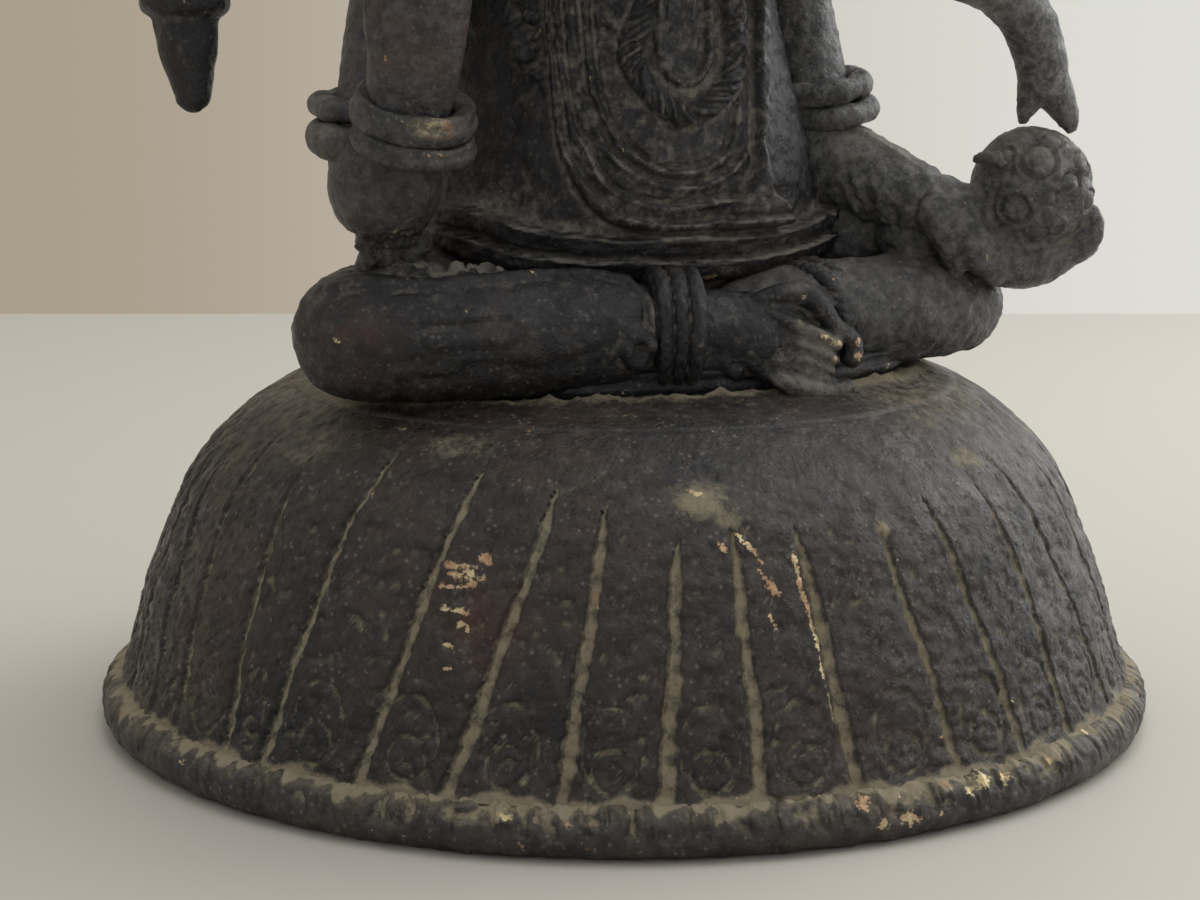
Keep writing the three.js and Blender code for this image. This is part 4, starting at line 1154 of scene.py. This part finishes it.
def buildLeftArm():
    surfaces = [
        limbSurface(**leftArm["upper"], rows=110, sides=72),
        limbSurface(**leftArm["fore"], rows=110, sides=72),
        eggSurface(**leftArm["heap"]),
        *[limbSurface(**part, rows=40, sides=32) for part in leftArm["hand"]],
    ]
    sweets = leftArm["sweets"]
    foldStart, foldEnd = np.array([22.2, -3.6, 62.8]), np.array([33.0, -15.0, 57.0])

    def relief(points, normals):
        # folds slanted across the forearm, a dusty ridge along its top, domes and rims of the sweets
        axis = (foldEnd - foldStart) / np.linalg.norm(foldEnd - foldStart)
        along = (points - foldStart) @ axis
        onFore = ease(2.0, 4.0, along) * (1 - ease(11.5, 13, along)) * (points[:, 0] > 21)
        slant = along * 3.6 + points[:, 2] * 2.3 + 0.8 * castNoise(points, 2.5, 81.0, 1)
        crust = 0.3 * castNoise(points, 1.3, 82.0, 3)
        out = (0.1 * np.sin(slant) + crust) * onFore * ease(0.6, 0.0, normals[:, 2])
        ridgeLine = smoothLine([(24.6, -8.4, 66.0), (27.6, -12.0, 63.6), (31.4, -15.2, 60.2)], 20)
        ridge, _ = distanceToLine(points, ridgeLine)
        out = out + 0.4 * softRidge(ridge, 0.7) * onFore
        past = (points - np.array(leftArm["sleeveEnd"])) @ axis
        onArm = (points[:, 0] < 36) & (points[:, 2] > 53)
        out = out + (0.22 * softRidge(past + 0.6, 0.8) - 0.25 * softRidge(past - 0.5, 0.6)) * onArm
        for at, radius in sweets:
            far = np.linalg.norm(points - np.array(at), axis=1)
            out = out + 0.5 * roundRidge(far, radius * 0.8) + 0.28 * softRidge(far - radius * 1.06, 0.4)
            out = out - 0.4 * softRidge(far - radius * 0.86, 0.32)
        at, radius = leftArm["fingertip"]
        far = np.linalg.norm(points - np.array(at), axis=1)
        out = out + 0.5 * softRidge(far - radius, 0.45) * (points[:, 2] > at[2] - 0.6)
        pit = np.linalg.norm(points - np.array([37.8, -22.4, 57.5]), axis=1)
        onHeap = ease(36, 38, points[:, 0]) * ease(-19, -21, points[:, 1])
        return out - 0.9 * softRidge(pit, 1.3) + 0.22 * castNoise(points, 1.4, 83.0, 3) * onHeap

    piece = castPiece("leftArm", surfaces, 0.33, 2, (0.13, 1.1), relief)
    points = pointsOf(piece.data)
    spots = [((42.0, -24.4, 59.7), 0.5), ((44.1, -24.2, 59.3), 0.4), ((44.4, -24.2, 61.1), 0.3),
             ((41.8, -24.3, 56.2), 0.5)]
    writeValue(piece.data, "bareMetal", chipsOn(points, spots))
    topDust = 0.55 * ease(60, 64, points[:, 2]) * (points[:, 0] > 21) * (points[:, 2] < 68)
    writeValue(piece.data, "heapDustAndSideLight", topDust)

    def knotted(turn, s):
        return 0.12 * np.sin(turn * 6 + 1) * np.ones_like(s)

    rings = [hoopSurface(**ring, lean=(-0.18, -0.1, 1), rows=170, sides=28, relief=knotted)
             for ring in leftArm["armlets"]]
    gridPiece("leftArmRings", rings, (0.15, 1.2))


buildLeftArm()

# Rear arms: a fist round a broken tusk, and a fist that holds a bud

rearArms = {
    "rightArm": {"path": [(-14, 5, 88), (-31, 6.5, 88.4), (-42, 6, 95.2), (-48.4, 0, 92.6),
                          (-51.2, -6.4, 86)],
                 "radii": [6.4, 4.9, 4.4, 4.0, 3.4]},
    "tusk": {"path": [(-51.3, -8.4, 84), (-51.2, -9.2, 77.4), (-50.9, -9.8, 71.4)],
             "radii": [2.8, 3.3, 1.9]},
    "leftArm": {"path": [(14, 5, 90), (31, 7, 94), (42, 6.5, 100.5), (46, 3, 109), (46.6, -1.5, 118)],
                "radii": [6.4, 4.9, 4.4, 4.0, 3.0]},
    "bud": {"path": [(46.6, -3.6, 120), (46.3, -3.4, 128), (46.2, -3.2, 138.4)],
            "radii": [1.3, 1.6, 3.9, 0.7]},
    "wristRing": 1.0,
}


def fistRound(centre, heights, reach, thickness):
    # fingers curled round an upright thing, one above the other: each is a bar bent half round it
    bars = []
    for i, z in enumerate(heights):
        turnsAt = np.linspace(-112, 112, 7) * degrees
        path = [(centre[0] + reach * math.sin(a), centre[1] - reach * math.cos(a),
                 z + 0.25 * math.sin(i + a)) for a in turnsAt]
        bars.append(limbSurface(path, [thickness * 0.95, thickness, thickness, thickness * 0.9], rows=40,
                                sides=22))
    return bars


def buildRearArms():
    def wrist(t, angle):
        place = (t - 0.895) / 0.035
        return rearArms["wristRing"] * roundRidge(place, 1) * np.ones_like(angle)

    def petals(t, angle):
        return 0.35 * np.cos(angle * 5) * ease(0.5, 0.7, t) * (1 - ease(0.85, 1, t))

    right = [
        limbSurface(**rearArms["rightArm"], rows=160, sides=64, relief=wrist),
        limbSurface(**rearArms["tusk"], rows=60, sides=48),
        eggSurface((-51.3, -7.6, 83.0), (3.9, 3.4, 5.4)),
        *fistRound((-51.3, -8.9), (85.8, 83.2, 80.6), 3.4, 1.45),
    ]
    castPiece("rearRightArm", right, 0.42, 2, (0.12, 1.4))
    left = [
        limbSurface(**rearArms["leftArm"], rows=160, sides=64, relief=wrist),
        limbSurface(**rearArms["bud"], rows=90, sides=60, relief=petals),
        eggSurface((46.6, -3, 121), (3.4, 3.2, 4.8)),
        *fistRound((46.5, -3.6), (117.8, 120.1, 122.4, 124.6), 2.7, 1.2),
    ]
    castPiece("rearLeftArm", left, 0.5, 2, (0.12, 1.4))


buildRearArms()

# Head, ears and trunk

head = {
    "trunk": {
        "path": [(0, -12, 105), (0.6, -19, 98.6), (5, -22.8, 92), (14, -24.2, 87), (25, -23.2, 84.8),
                 (34, -20.8, 82.9), (40.1, -18.8, 78.9), (42.9, -17.8, 73.6), (43.6, -17.3, 70.8)],
        "radii": [7, 6.5, 5.7, 4.9, 4.2, 3.6, 3.3, 3.1, 2.9],
        "domes": (1, 0.5),
    },
    # the trunk's forked end: a round lip on one side and a broad flap on the other
    "lip": {"path": [(42.2, -17.3, 70.2), (41.5, -17.2, 68.4), (41.2, -17.2, 67.2)],
            "radii": [1.9, 1.3, 0.6]},
    "flap": {"path": [(44.7, -17.5, 70.6), (46.0, -17.9, 68.2), (46.9, -18.2, 66.0)],
             "radii": [2.3, 1.7, 0.8]},
    "earTurn": (6, -16),
    "earAt": (20.4, 0.5, 105.4),
    "earSize": (11.5, 2.1, 14),
}


def earSurface(side):
    # a flat egg with a waved outline, a rolled edge, and folds that fan out from its root
    size = head["earSize"]

    def relief(direction):
        around = np.arctan2(direction[..., 2], direction[..., 0] * side)
        return 0.7 * np.cos(5 * around) * np.hypot(direction[..., 0], direction[..., 2])

    grid, tips = eggSurface((0, 0, 0), size, 80, 110, relief)
    grid[..., 0] *= 1 + 0.16 * grid[..., 2] / size[2]
    reach = np.hypot(grid[..., 0] / size[0], grid[..., 2] / size[2])
    around = np.arctan2(grid[..., 2], grid[..., 0] * side + 8)
    folds = 0.45 * np.cos(9 * around) * ease(0.2, 0.5, reach)
    rolled = -1.2 * ease(0.75, 0.98, reach) + 0.8 * (1 - ease(0, 0.6, reach))
    grid[..., 1] += (folds + rolled) * np.where(grid[..., 1] < 0, 1, 0.4)
    tilt, swing = head["earTurn"][0] * degrees, head["earTurn"][1] * side * degrees
    tiltBack = np.array([[1, 0, 0], [0, math.cos(tilt), -math.sin(tilt)],
                         [0, math.sin(tilt), math.cos(tilt)]])
    swingOut = np.array([[math.cos(swing), -math.sin(swing), 0], [math.sin(swing), math.cos(swing), 0],
                         [0, 0, 1]])
    place = np.array(head["earAt"]) * np.array([side, 1, 1])
    turned = (swingOut @ tiltBack).T
    return grid @ turned + place, (tips[0] @ turned + place, tips[1] @ turned + place)


def buildTrunk():
    surfaces = [limbSurface(**head["trunk"], rows=260, sides=64),
                limbSurface(**head["lip"], rows=30, sides=30),
                limbSurface(**head["flap"], rows=30, sides=36, domes=(1, 0.5))]

    def relief(points, normals):
        # creases across the trunk's front, near the head only
        creases = np.sin(points[:, 0] * 2.6 + points[:, 2] * 1.2)
        return 0.14 * creases * ease(34, 24, points[:, 0]) * ease(0.3, -0.3, normals[:, 1])

    piece = castPiece("trunk", surfaces, 0.4, 2, (0.13, 1.3), relief)
    points = pointsOf(piece.data)
    spots = [((42.4, -20.6, 77.6), 0.8), ((43.4, -20.4, 75.6), 0.7), ((41.2, -21.0, 79.4), 0.6),
             ((42.0, -19.0, 69.2), 0.4)]
    writeValue(piece.data, "bareMetal", 0.8 * chipsOn(points, spots, spread=1.6))


def buildHead():
    surfaces = [
        eggSurface((0, -3, 108), (13.4, 12.8, 13)),
        limbSurface([(6, -13, 99), (8.6, -18, 96.2), (10.6, -22, 96)], [2.1, 1.8, 0.7], rows=40, sides=32),
        limbSurface([(-6, -13, 99), (-8.2, -17, 97)], [2.1, 1.9], rows=20, sides=32, domes=(1, 0.25)),
    ]
    for side in (-1, 1):
        surfaces += [
            eggSurface((4.6 * side, -9, 112.4), (6.6, 6.4, 5.8)),
            eggSurface((6 * side, -9.4, 102.6), (6, 6.8, 6.8)),
            eggSurface((7.6 * side, -14.6, 107.4), (2.5, 1.5, 1.35)),
            limbSurface([(3.4 * side, -15, 109.6), (7 * side, -15.4, 110.4), (11 * side, -12.6, 108.6)],
                        [0.6, 0.9, 0.6],
                        rows=24, sides=20),
            earSurface(side),
        ]
    castPiece("headAndEars", surfaces, 0.57, 2, (0.12, 1.5))


buildTrunk()
buildHead()

# Crown: stepped tiers with leaf tips, a beaded foot, a knop and a front jewel

crown = {
    "foot": [(11.4, 113), (13.2, 113.8), (13.6, 115), (13.0, 116), (13.2, 117.6), (13.5, 118.4),
             (12.2, 119.4)],
    "tiers": 4,
    "tierHeight": 6.4,
    "topRadius": 3.4,
    "beads": 22,
    "leafLift": 0.55,
    "knop": [(3.0, 145.6), (4.4, 147.4), (4.7, 149), (3.8, 151.4), (1.8, 153.6), (0.8, 155), (0.3, 155.8)],
}


def crownOutline():
    footRadius, footTop = crown["foot"][-1]
    outline = [(1, 112.6), *crown["foot"]]
    for i in range(1, crown["tiers"] + 1):
        before = footRadius + (crown["topRadius"] - footRadius) * (i - 1) / crown["tiers"]
        r = footRadius + (crown["topRadius"] - footRadius) * i / crown["tiers"]
        z = footTop + i * crown["tierHeight"]
        outline += [(before - 0.2, z - 5.9), ((r + before) / 2 + 0.5, z - 3.6), (r + 0.1, z - 1.5)]
        outline += [(r + 0.7, z - 0.9), (r + 0.7, z - 0.2), (r, z)]
    outline = np.array(outline + crown["knop"])
    steps = np.linspace(0, len(outline) - 1, 150)
    return np.stack([np.interp(steps, np.arange(len(outline)), outline[:, k]) for k in (0, 1)], axis=-1)


def buildCrown():
    def relief(z, angle, r):
        out = np.zeros(np.broadcast_shapes(z.shape, angle.shape))
        for i in range(1, crown["tiers"] + 1):
            top = crown["foot"][-1][1] + i * crown["tierHeight"]
            leaf = np.abs(np.mod(angle * (14 - 2 * i) / (2 * math.pi), 1) * 2 - 1)
            share = (z - (top - 5.8)) / 4.2
            leafy = ease(0.0, 0.18, 1 - leaf - np.clip(share, 0, 1) ** 2 * 0.95)
            out += crown["leafLift"] * leafy * (share > 0) * (share < 1)
        bead = ease(-0.3, 0.8, np.cos(angle * crown["beads"]))
        return out + 0.35 * bead * softRidge(z - 117.2, 0.9)

    grid, tips = turnedSurface(crownOutline(), np.linspace(0, 2 * math.pi, 150, endpoint=False), relief)
    shift = np.array([0, -1, 0])
    jewel = eggSurface((0, -13.6, 119), (2.8, 1.5, 4), 32, 40)
    gridPiece("crown", [(grid + shift, (tips[0] + shift, tips[1] + shift)), jewel], (0.12, 1.5))


buildCrown()
print("shapes ready")

# What the shapes say about dust and wear

def markHollows():
    # how far a point lies under or over the smoothed skin, in mm, at a fine and a broad scale
    for piece in pieces.values():
        mesh = piece.data
        points, normals = pointsOf(mesh), normalsOf(mesh)
        mean = neighbourMean(mesh)
        smooth = points
        for step in range(1, 31):
            smooth = mean(smooth)
            if step == 5:
                fine = ((smooth - points) * normals).sum(axis=1)
        broad = ((smooth - points) * normals).sum(axis=1)
        writeValue(mesh, "fineHollow", mean(fine))
        writeValue(mesh, "broadHollow", mean(broad))


def markShelter():
    # how much other metal stands close in front of a point: all points are counted in 1 mm cells, the
    # counts are spread to their neighbours, and read a little way out along the normal
    low, high = np.array(cadBox[0]) * 1000 - 8, np.array(cadBox[1]) * 1000 + 8
    shape = np.ceil(high - low).astype(int)
    filled = np.zeros(shape)
    everything = {name: (pointsOf(piece.data), normalsOf(piece.data)) for name, piece in pieces.items()}
    for points, _ in everything.values():
        cell = np.clip((points - low).astype(int), 0, shape - 1)
        filled[tuple(cell.T)] = 1
    for _ in range(3):
        for axis in range(3):
            filled = (np.roll(filled, 1, axis) + filled + np.roll(filled, -1, axis)) / 3
    for name, (points, normals) in everything.items():
        total = np.zeros(len(points))
        for reach in (2.5, 4.5):
            cell = np.clip((points + normals * reach - low).astype(int), 0, shape - 1)
            total += filled[tuple(cell.T)]
        mesh = pieces[name].data
        mean = neighbourMean(mesh)
        for _ in range(4):
            total = mean(total)
        writeValue(mesh, "shelter", total)


markHollows()
markShelter()
print("hollows marked")

# Materials: colours first, then the parts of a finish, then each piece's own

finish = {
    "cool": (0.0095, 0.0095, 0.0115, 1),
    "warm": (0.036, 0.0245, 0.0195, 1),
    "speck": (0.135, 0.122, 0.104, 1),
    "red": (0.062, 0.027, 0.020, 1),
    # grey of the dust film, also the colour of the painted sheen
    "film": (0.215, 0.212, 0.205, 1),
    # colours of the dust; they also paint the light on the dome's sides and the right arm's outer side
    "dust": (0.300, 0.258, 0.172, 1),
    "greyDust": (0.225, 0.205, 0.168, 1),
    "brass": (0.74, 0.62, 0.36, 1),
    "copper": (0.45, 0.28, 0.17, 1),
    "verdigris": (0.075, 0.115, 0.085, 1),
    "darkest": (0.004, 0.004, 0.005, 1),
    "table": (0.60, 0.57, 0.505, 1),
}


def newNode(tree, kind, links=None, **settings):
    # adds a node; links are its inputs, each a socket to link or a value to set
    made = tree.nodes.new(kind)
    for key, value in settings.items():
        setattr(made, key, value)
    for key, value in (links or {}).items():
        socket = made.inputs[key]
        if isinstance(value, bpy.types.NodeSocket):
            tree.links.new(value, socket)
        else:
            socket.default_value = value
    return made


def mathNode(tree, operation, a, b=0.0, clamp=False):
    return newNode(tree, "ShaderNodeMath", {0: a, 1: b}, operation=operation, use_clamp=clamp).outputs[0]


def sumOf(tree, *terms):
    # each term is a socket, or a socket with the weight that it counts with
    total = None
    for term in terms:
        value = mathNode(tree, "MULTIPLY", *term) if isinstance(term, tuple) else term
        total = value if total is None else mathNode(tree, "ADD", total, value)
    return total


def rangeNode(tree, value, fromLow, fromHigh, toLow=0.0, toHigh=1.0):
    links = {"Value": value, "From Min": fromLow, "From Max": fromHigh, "To Min": toLow, "To Max": toHigh}
    return newNode(tree, "ShaderNodeMapRange", links, interpolation_type="SMOOTHSTEP").outputs["Result"]


def mixColour(tree, share, a, b):
    mixed = newNode(tree, "ShaderNodeMix", {0: share, 6: a, 7: b}, data_type="RGBA")
    return mixed.outputs[2]


def noiseNode(tree, place, scale, detail=4.0, rough=0.55):
    links = {"Vector": place, "Scale": scale, "Detail": detail, "Roughness": rough}
    return newNode(tree, "ShaderNodeTexNoise", links).outputs["Fac"]


def attributeNode(tree, name):
    return newNode(tree, "ShaderNodeAttribute", attribute_name=name).outputs["Fac"]


def newGroup(name, inputs, outputs):
    group = bpy.data.node_groups.new(name, "ShaderNodeTree")
    for label, kind in inputs.items():
        group.interface.new_socket(name=label, in_out="INPUT", socket_type="NodeSocket" + kind)
    for label, kind in outputs.items():
        group.interface.new_socket(name=label, in_out="OUTPUT", socket_type="NodeSocket" + kind)
    return group, group.nodes.new("NodeGroupInput").outputs, group.nodes.new("NodeGroupOutput").inputs


def dustAndSideLightGroup():
    # dust lies in hollows and sheltered places, along marked lines and heaps, and thinly on what
    # faces up; the heaps also carry painted light on the dome's left and right sides and on the right
    # arm's outer side; noise breaks all of it into patches and grains
    given = {name: "Float" for name in ("Fine", "Broad", "Shelter", "Up", "Line", "Heap", "Amount", "Tops")}
    group, given, out = newGroup("settledDustAndSideLight", {"Place": "Vector", **given}, {"Mask": "Float"})
    fine = rangeNode(group, given["Fine"], 0.015, 0.11)
    broad = rangeNode(group, given["Broad"], 0.06, 0.45)
    near = rangeNode(group, given["Shelter"], 0.55, 1.05)
    up = rangeNode(group, given["Up"], 0.1, 0.95)
    sheltered = mathNode(group, "MULTIPLY", near, up)
    topFilm = mathNode(group, "MULTIPLY", up, given["Tops"])
    laid = sumOf(group, (fine, 0.42), (broad, 0.42), (sheltered, 0.35), topFilm)
    grains = rangeNode(group, noiseNode(group, given["Place"], 1000.0, 5.0, 0.72), 0.30, 0.70, 0.12, 1.45)
    patches = rangeNode(group, noiseNode(group, given["Place"], 130.0, 3.0), 0.3, 0.7, 0.45, 1.35)
    laid = mathNode(group, "MULTIPLY", mathNode(group, "MULTIPLY", laid, grains), patches)
    laid = mathNode(group, "MULTIPLY", laid, given["Amount"])
    crumbs = mathNode(group, "SUBTRACT", noiseNode(group, given["Place"], 760.0, 7.0, 0.78), 0.5)
    marked = sumOf(group, mathNode(group, "MAXIMUM", given["Line"], given["Heap"]), (crumbs, 1.7))
    marked = rangeNode(group, marked, 0.22, 0.85, 0.0, 0.82)
    group.links.new(mathNode(group, "ADD", laid, marked, True), out["Mask"])
    return group


def patinaGroup():
    # dark skin: slow drift from cool to warm, mottling, scattered pale specks, and the bump's height
    group, given, out = newGroup(
        "darkPatina",
        {"Place": "Vector", "Cool": "Color", "Warm": "Color", "Speck": "Color", "Warmth": "Float",
         "Specks": "Float"},
        {"Color": "Color", "Height": "Float", "Gloss": "Float"},
    )
    drift = mathNode(group, "ADD", noiseNode(group, given["Place"], 60.0, 4.0), given["Warmth"])
    colour = mixColour(group, rangeNode(group, drift, 0.38, 0.72), given["Cool"], given["Warm"])
    mottle = rangeNode(group, noiseNode(group, given["Place"], 720.0, 8.0, 0.80), 0.50, 0.70, 0.0, 0.62)
    colour = mixColour(group, mottle, colour, given["Speck"])
    cells = newNode(group, "ShaderNodeTexVoronoi", {"Vector": given["Place"], "Scale": 1500.0})
    chosen = newNode(group, "ShaderNodeSeparateColor", {0: cells.outputs["Color"]}).outputs[0]
    chosen = mathNode(group, "GREATER_THAN", chosen, 0.86)
    dot = rangeNode(group, cells.outputs["Distance"], 0.42, 0.22)
    specks = mathNode(group, "MULTIPLY", mathNode(group, "MULTIPLY", chosen, dot), given["Specks"], True)
    colour = mixColour(group, specks, colour, given["Speck"])
    dark = rangeNode(group, noiseNode(group, given["Place"], 480.0, 8.0, 0.78), 0.54, 0.36, 0.0, 0.8)
    colour = mixColour(group, dark, colour, finish["darkest"])
    group.links.new(colour, out["Color"])
    pits = rangeNode(group,
                     newNode(group, "ShaderNodeTexVoronoi",
                             {"Vector": given["Place"], "Scale": 1500.0}).outputs[0],
                     0.02, 0.42)
    height = sumOf(group, (pits, 0.35), (noiseNode(group, given["Place"], 1700.0, 7.0, 0.72), 1.0),
                   (specks, 0.3))
    group.links.new(height, out["Height"])
    group.links.new(rangeNode(group, noiseNode(group, given["Place"], 300.0, 5.0), 0.32, 0.68), out["Gloss"])
    return group


sharedDustAndSideLight = dustAndSideLightGroup()
sharedPatina = patinaGroup()


def bronzeMaterial(name, warmth, dust, tops, specks, film=0.0, dustColour="dust"):
    material = bpy.data.materials.new(name)
    material.use_nodes = True
    tree = material.node_tree
    tree.nodes.clear()
    place = newNode(tree, "ShaderNodeTexCoord").outputs["Object"]
    normal = newNode(tree, "ShaderNodeNewGeometry").outputs["Normal"]
    up = newNode(tree, "ShaderNodeSeparateXYZ", {0: normal}).outputs["Z"]
    fine = attributeNode(tree, "fineHollow")
    patina = newNode(tree, "ShaderNodeGroup", node_tree=sharedPatina)
    laid = newNode(tree, "ShaderNodeGroup", node_tree=sharedDustAndSideLight)
    given = {
        "Place": place, "Fine": fine, "Broad": attributeNode(tree, "broadHollow"), "Up": up, "Amount": dust,
        "Tops": tops,
        "Shelter": attributeNode(tree, "shelter"), "Line": attributeNode(tree, "lineDust"),
        "Heap": attributeNode(tree, "heapDustAndSideLight"), "Cool": finish["cool"], "Warm": finish["warm"],
        "Speck": finish["speck"], "Warmth": warmth, "Specks": specks,
    }
    for group in (patina, laid):
        for socket in group.inputs:
            value = given[socket.name]
            if isinstance(value, bpy.types.NodeSocket):
                tree.links.new(value, socket)
            else:
                socket.default_value = value
    dustAndSideLightMask = laid.outputs["Mask"]
    blotches = rangeNode(tree, noiseNode(tree, place, 210.0, 5.0, 0.6), 0.35, 0.65)
    red = mathNode(tree, "MULTIPLY", attributeNode(tree, "redness"), blotches, True)
    colour = mixColour(tree, mathNode(tree, "MULTIPLY", red, 0.9), patina.outputs["Color"], finish["red"])
    # a thin grey film of fine dust, rubbed off in patches; its amount per finish is also a painted sheen
    # that lightens the pieces lit from the right
    filmed = rangeNode(tree, noiseNode(tree, place, 700.0, 8.0, 0.78), 0.40, 0.64, 0.25 * film, 1.1 * film)
    colour = mixColour(tree, filmed, colour, finish["film"])
    colour = mixColour(tree, dustAndSideLightMask, colour, finish[dustColour])
    flecks = noiseNode(tree, place, 900.0, 4.0, 0.7)
    green = rangeNode(tree, sumOf(tree, (attributeNode(tree, "verdigris"), 1.0), (flecks, 0.6)), 0.75, 0.95)
    colour = mixColour(tree, mathNode(tree, "MULTIPLY", green, 0.85), colour, finish["verdigris"])
    # bare metal: marked strokes and chips, and rare specks on the sharpest crests
    ragged = noiseNode(tree, place, 1500.0, 6.0, 0.75)
    marked = rangeNode(tree, sumOf(tree, (attributeNode(tree, "bareMetal"), 0.5), (ragged, 1.0)), 0.83, 0.89)
    crest = rangeNode(tree, mathNode(tree, "MULTIPLY", fine, -1.0), 0.05, 0.14)
    rare = rangeNode(tree, noiseNode(tree, place, 480.0, 3.0, 0.7), 0.66, 0.72)
    rubbed = mathNode(tree, "MULTIPLY", attributeNode(tree, "rubbed"),
                      rangeNode(tree, flecks, 0.40, 0.62, 0.1, 0.75))
    bare = mathNode(tree, "MAXIMUM", mathNode(tree, "MULTIPLY", crest, rare), rubbed)
    bare = mathNode(tree, "MAXIMUM", bare, marked, True)
    metal = mixColour(tree, rangeNode(tree, noiseNode(tree, place, 160.0, 2.0), 0.4, 0.62), finish["brass"],
                      finish["copper"])
    colour = mixColour(tree, bare, colour, metal)
    rough = rangeNode(tree, patina.outputs["Gloss"], 0.0, 1.0, 0.27, 0.52)
    rough = sumOf(tree, rough, (dustAndSideLightMask, 0.45), (bare, -0.12))
    bump = newNode(tree, "ShaderNodeBump", {
        "Height": sumOf(tree, patina.outputs["Height"], (dustAndSideLightMask, 0.3)), "Strength": 0.8,
        "Distance": 0.00026,
    })
    shader = newNode(tree, "ShaderNodeBsdfPrincipled", {
        "Base Color": colour, "Roughness": rough, "Metallic": mathNode(tree, "MULTIPLY", bare, 0.9),
        "Normal": bump.outputs[0], "Specular IOR Level": 0.44,
    })
    newNode(tree, "ShaderNodeOutputMaterial", {"Surface": shader.outputs[0]})
    return material


# the film amount makes lighter copies of one bronze: a thin real dust film, and a painted sheen on the
# pieces that face the bright right side, most on the trunk
castFinish = {
    "lotusBase": {"warmth": 0.13, "dust": 0.9, "tops": 0.05, "specks": 0.8, "film": 0.0},
    "lotusRim": {"warmth": 0.08, "dust": 1.3, "tops": 0.34, "specks": 0.9, "film": 0.1},
    "figure": {"warmth": -0.08, "dust": 0.75, "tops": 0.04, "specks": 0.5, "dustColour": "greyDust"},
    "filmed": {"warmth": -0.02, "dust": 0.9, "tops": 0.12, "specks": 0.7, "film": 0.30,
               "dustColour": "greyDust"},
    "dusty": {"warmth": -0.02, "dust": 1.0, "tops": 0.12, "specks": 0.9, "film": 0.40,
              "dustColour": "greyDust"},
    "pale": {"warmth": -0.06, "dust": 0.9, "tops": 0.12, "specks": 1.0, "film": 0.62,
             "dustColour": "greyDust"},
    "paler": {"warmth": -0.06, "dust": 0.9, "tops": 0.12, "specks": 1.0, "film": 0.85,
              "dustColour": "greyDust"},
}
finishOf = {
    "lotusWall": "lotusBase", "lotusTop": "lotusBase", "lotusRim": "lotusRim", "leftLeg": "dusty",
    "leftArm": "pale",
    "leftArmRings": "pale", "rightArm": "filmed", "rightArmRings": "filmed", "rearLeftArm": "filmed",
    "trunk": "paler", "headAndEars": "dusty", "crown": "filmed",
}
materials = {name: bronzeMaterial("bronze" + name[0].upper() + name[1:], **values) for name,
             values in castFinish.items()}
for name, piece in pieces.items():
    piece.data.materials.clear()
    piece.data.materials.append(materials[finishOf.get(name, "figure")])

tableMaterial = bpy.data.materials.new("paleTable")
tableMaterial.use_nodes = True
tableShader = tableMaterial.node_tree.nodes["Principled BSDF"]
tableShader.inputs["Base Color"].default_value = finish["table"]
tableShader.inputs["Roughness"].default_value = 0.55
tableMesh.materials.append(tableMaterial)

# Light: a pale room, dim and warm on the left and bright on the right, and two large soft lamps

light = {
    "left": (0.40, 0.34, 0.26, 1),
    "right": (0.74, 0.74, 0.69, 1),
    "ceiling": (0.52, 0.51, 0.49, 1),
    "behindLeft": (0.51, 0.51, 0.51, 1),
    "behindRight": (0.62, 0.625, 0.63, 1),
    "lamps": [
        {"name": "overhead", "at": (120, 20, 530), "size": 0.5, "power": 0.9, "colour": (1.0, 0.97, 0.93)},
        {"name": "window", "at": (430, 60, 260), "size": 0.42, "power": 1.3, "colour": (0.97, 0.98, 1.0)},
    ],
}
world = bpy.data.worlds.new("room")
bpy.context.scene.world = world
world.use_nodes = True
worldTree = world.node_tree
worldTree.nodes.clear()
direction = newNode(worldTree, "ShaderNodeTexCoord").outputs["Generated"]


def towards(axis):
    links = {0: direction, 1: tuple(axis)}
    return newNode(worldTree, "ShaderNodeVectorMath", links, operation="DOT_PRODUCT").outputs["Value"]


walls = mixColour(worldTree, rangeNode(worldTree, towards(across), -0.22, 0.25), light["left"],
                  light["right"])
walls = mixColour(worldTree, rangeNode(worldTree, towards((0, 0, 1)), 0.35, 0.9), walls, light["ceiling"])
behindCamera = mixColour(worldTree, rangeNode(worldTree, towards(across), -0.6, 0.8), light["behindLeft"],
                         light["behindRight"])
walls = mixColour(worldTree, rangeNode(worldTree, towards(away), -0.1, 0.7), behindCamera, walls)
background = newNode(worldTree, "ShaderNodeBackground", {"Color": walls, "Strength": 1.0})
newNode(worldTree, "ShaderNodeOutputWorld", {"Surface": background.outputs[0]})
for lamp in light["lamps"]:
    data = bpy.data.lights.new(lamp["name"], "AREA")
    data.energy = lamp["power"]
    data.size = lamp["size"]
    data.color = lamp["colour"]
    made = bpy.data.objects.new(lamp["name"], data)
    made.location = [value * 0.001 for value in lamp["at"]]
    aim = -np.array(lamp["at"], float) + np.array([0, 0, 50])
    aim /= np.linalg.norm(aim)
    made.rotation_euler = (math.acos(-aim[2]), 0, math.atan2(aim[0], -aim[1]) + math.pi)
    bpy.context.scene.collection.objects.link(made)
bpy.context.scene.view_settings.view_transform = "Standard"
print("materials and light ready")
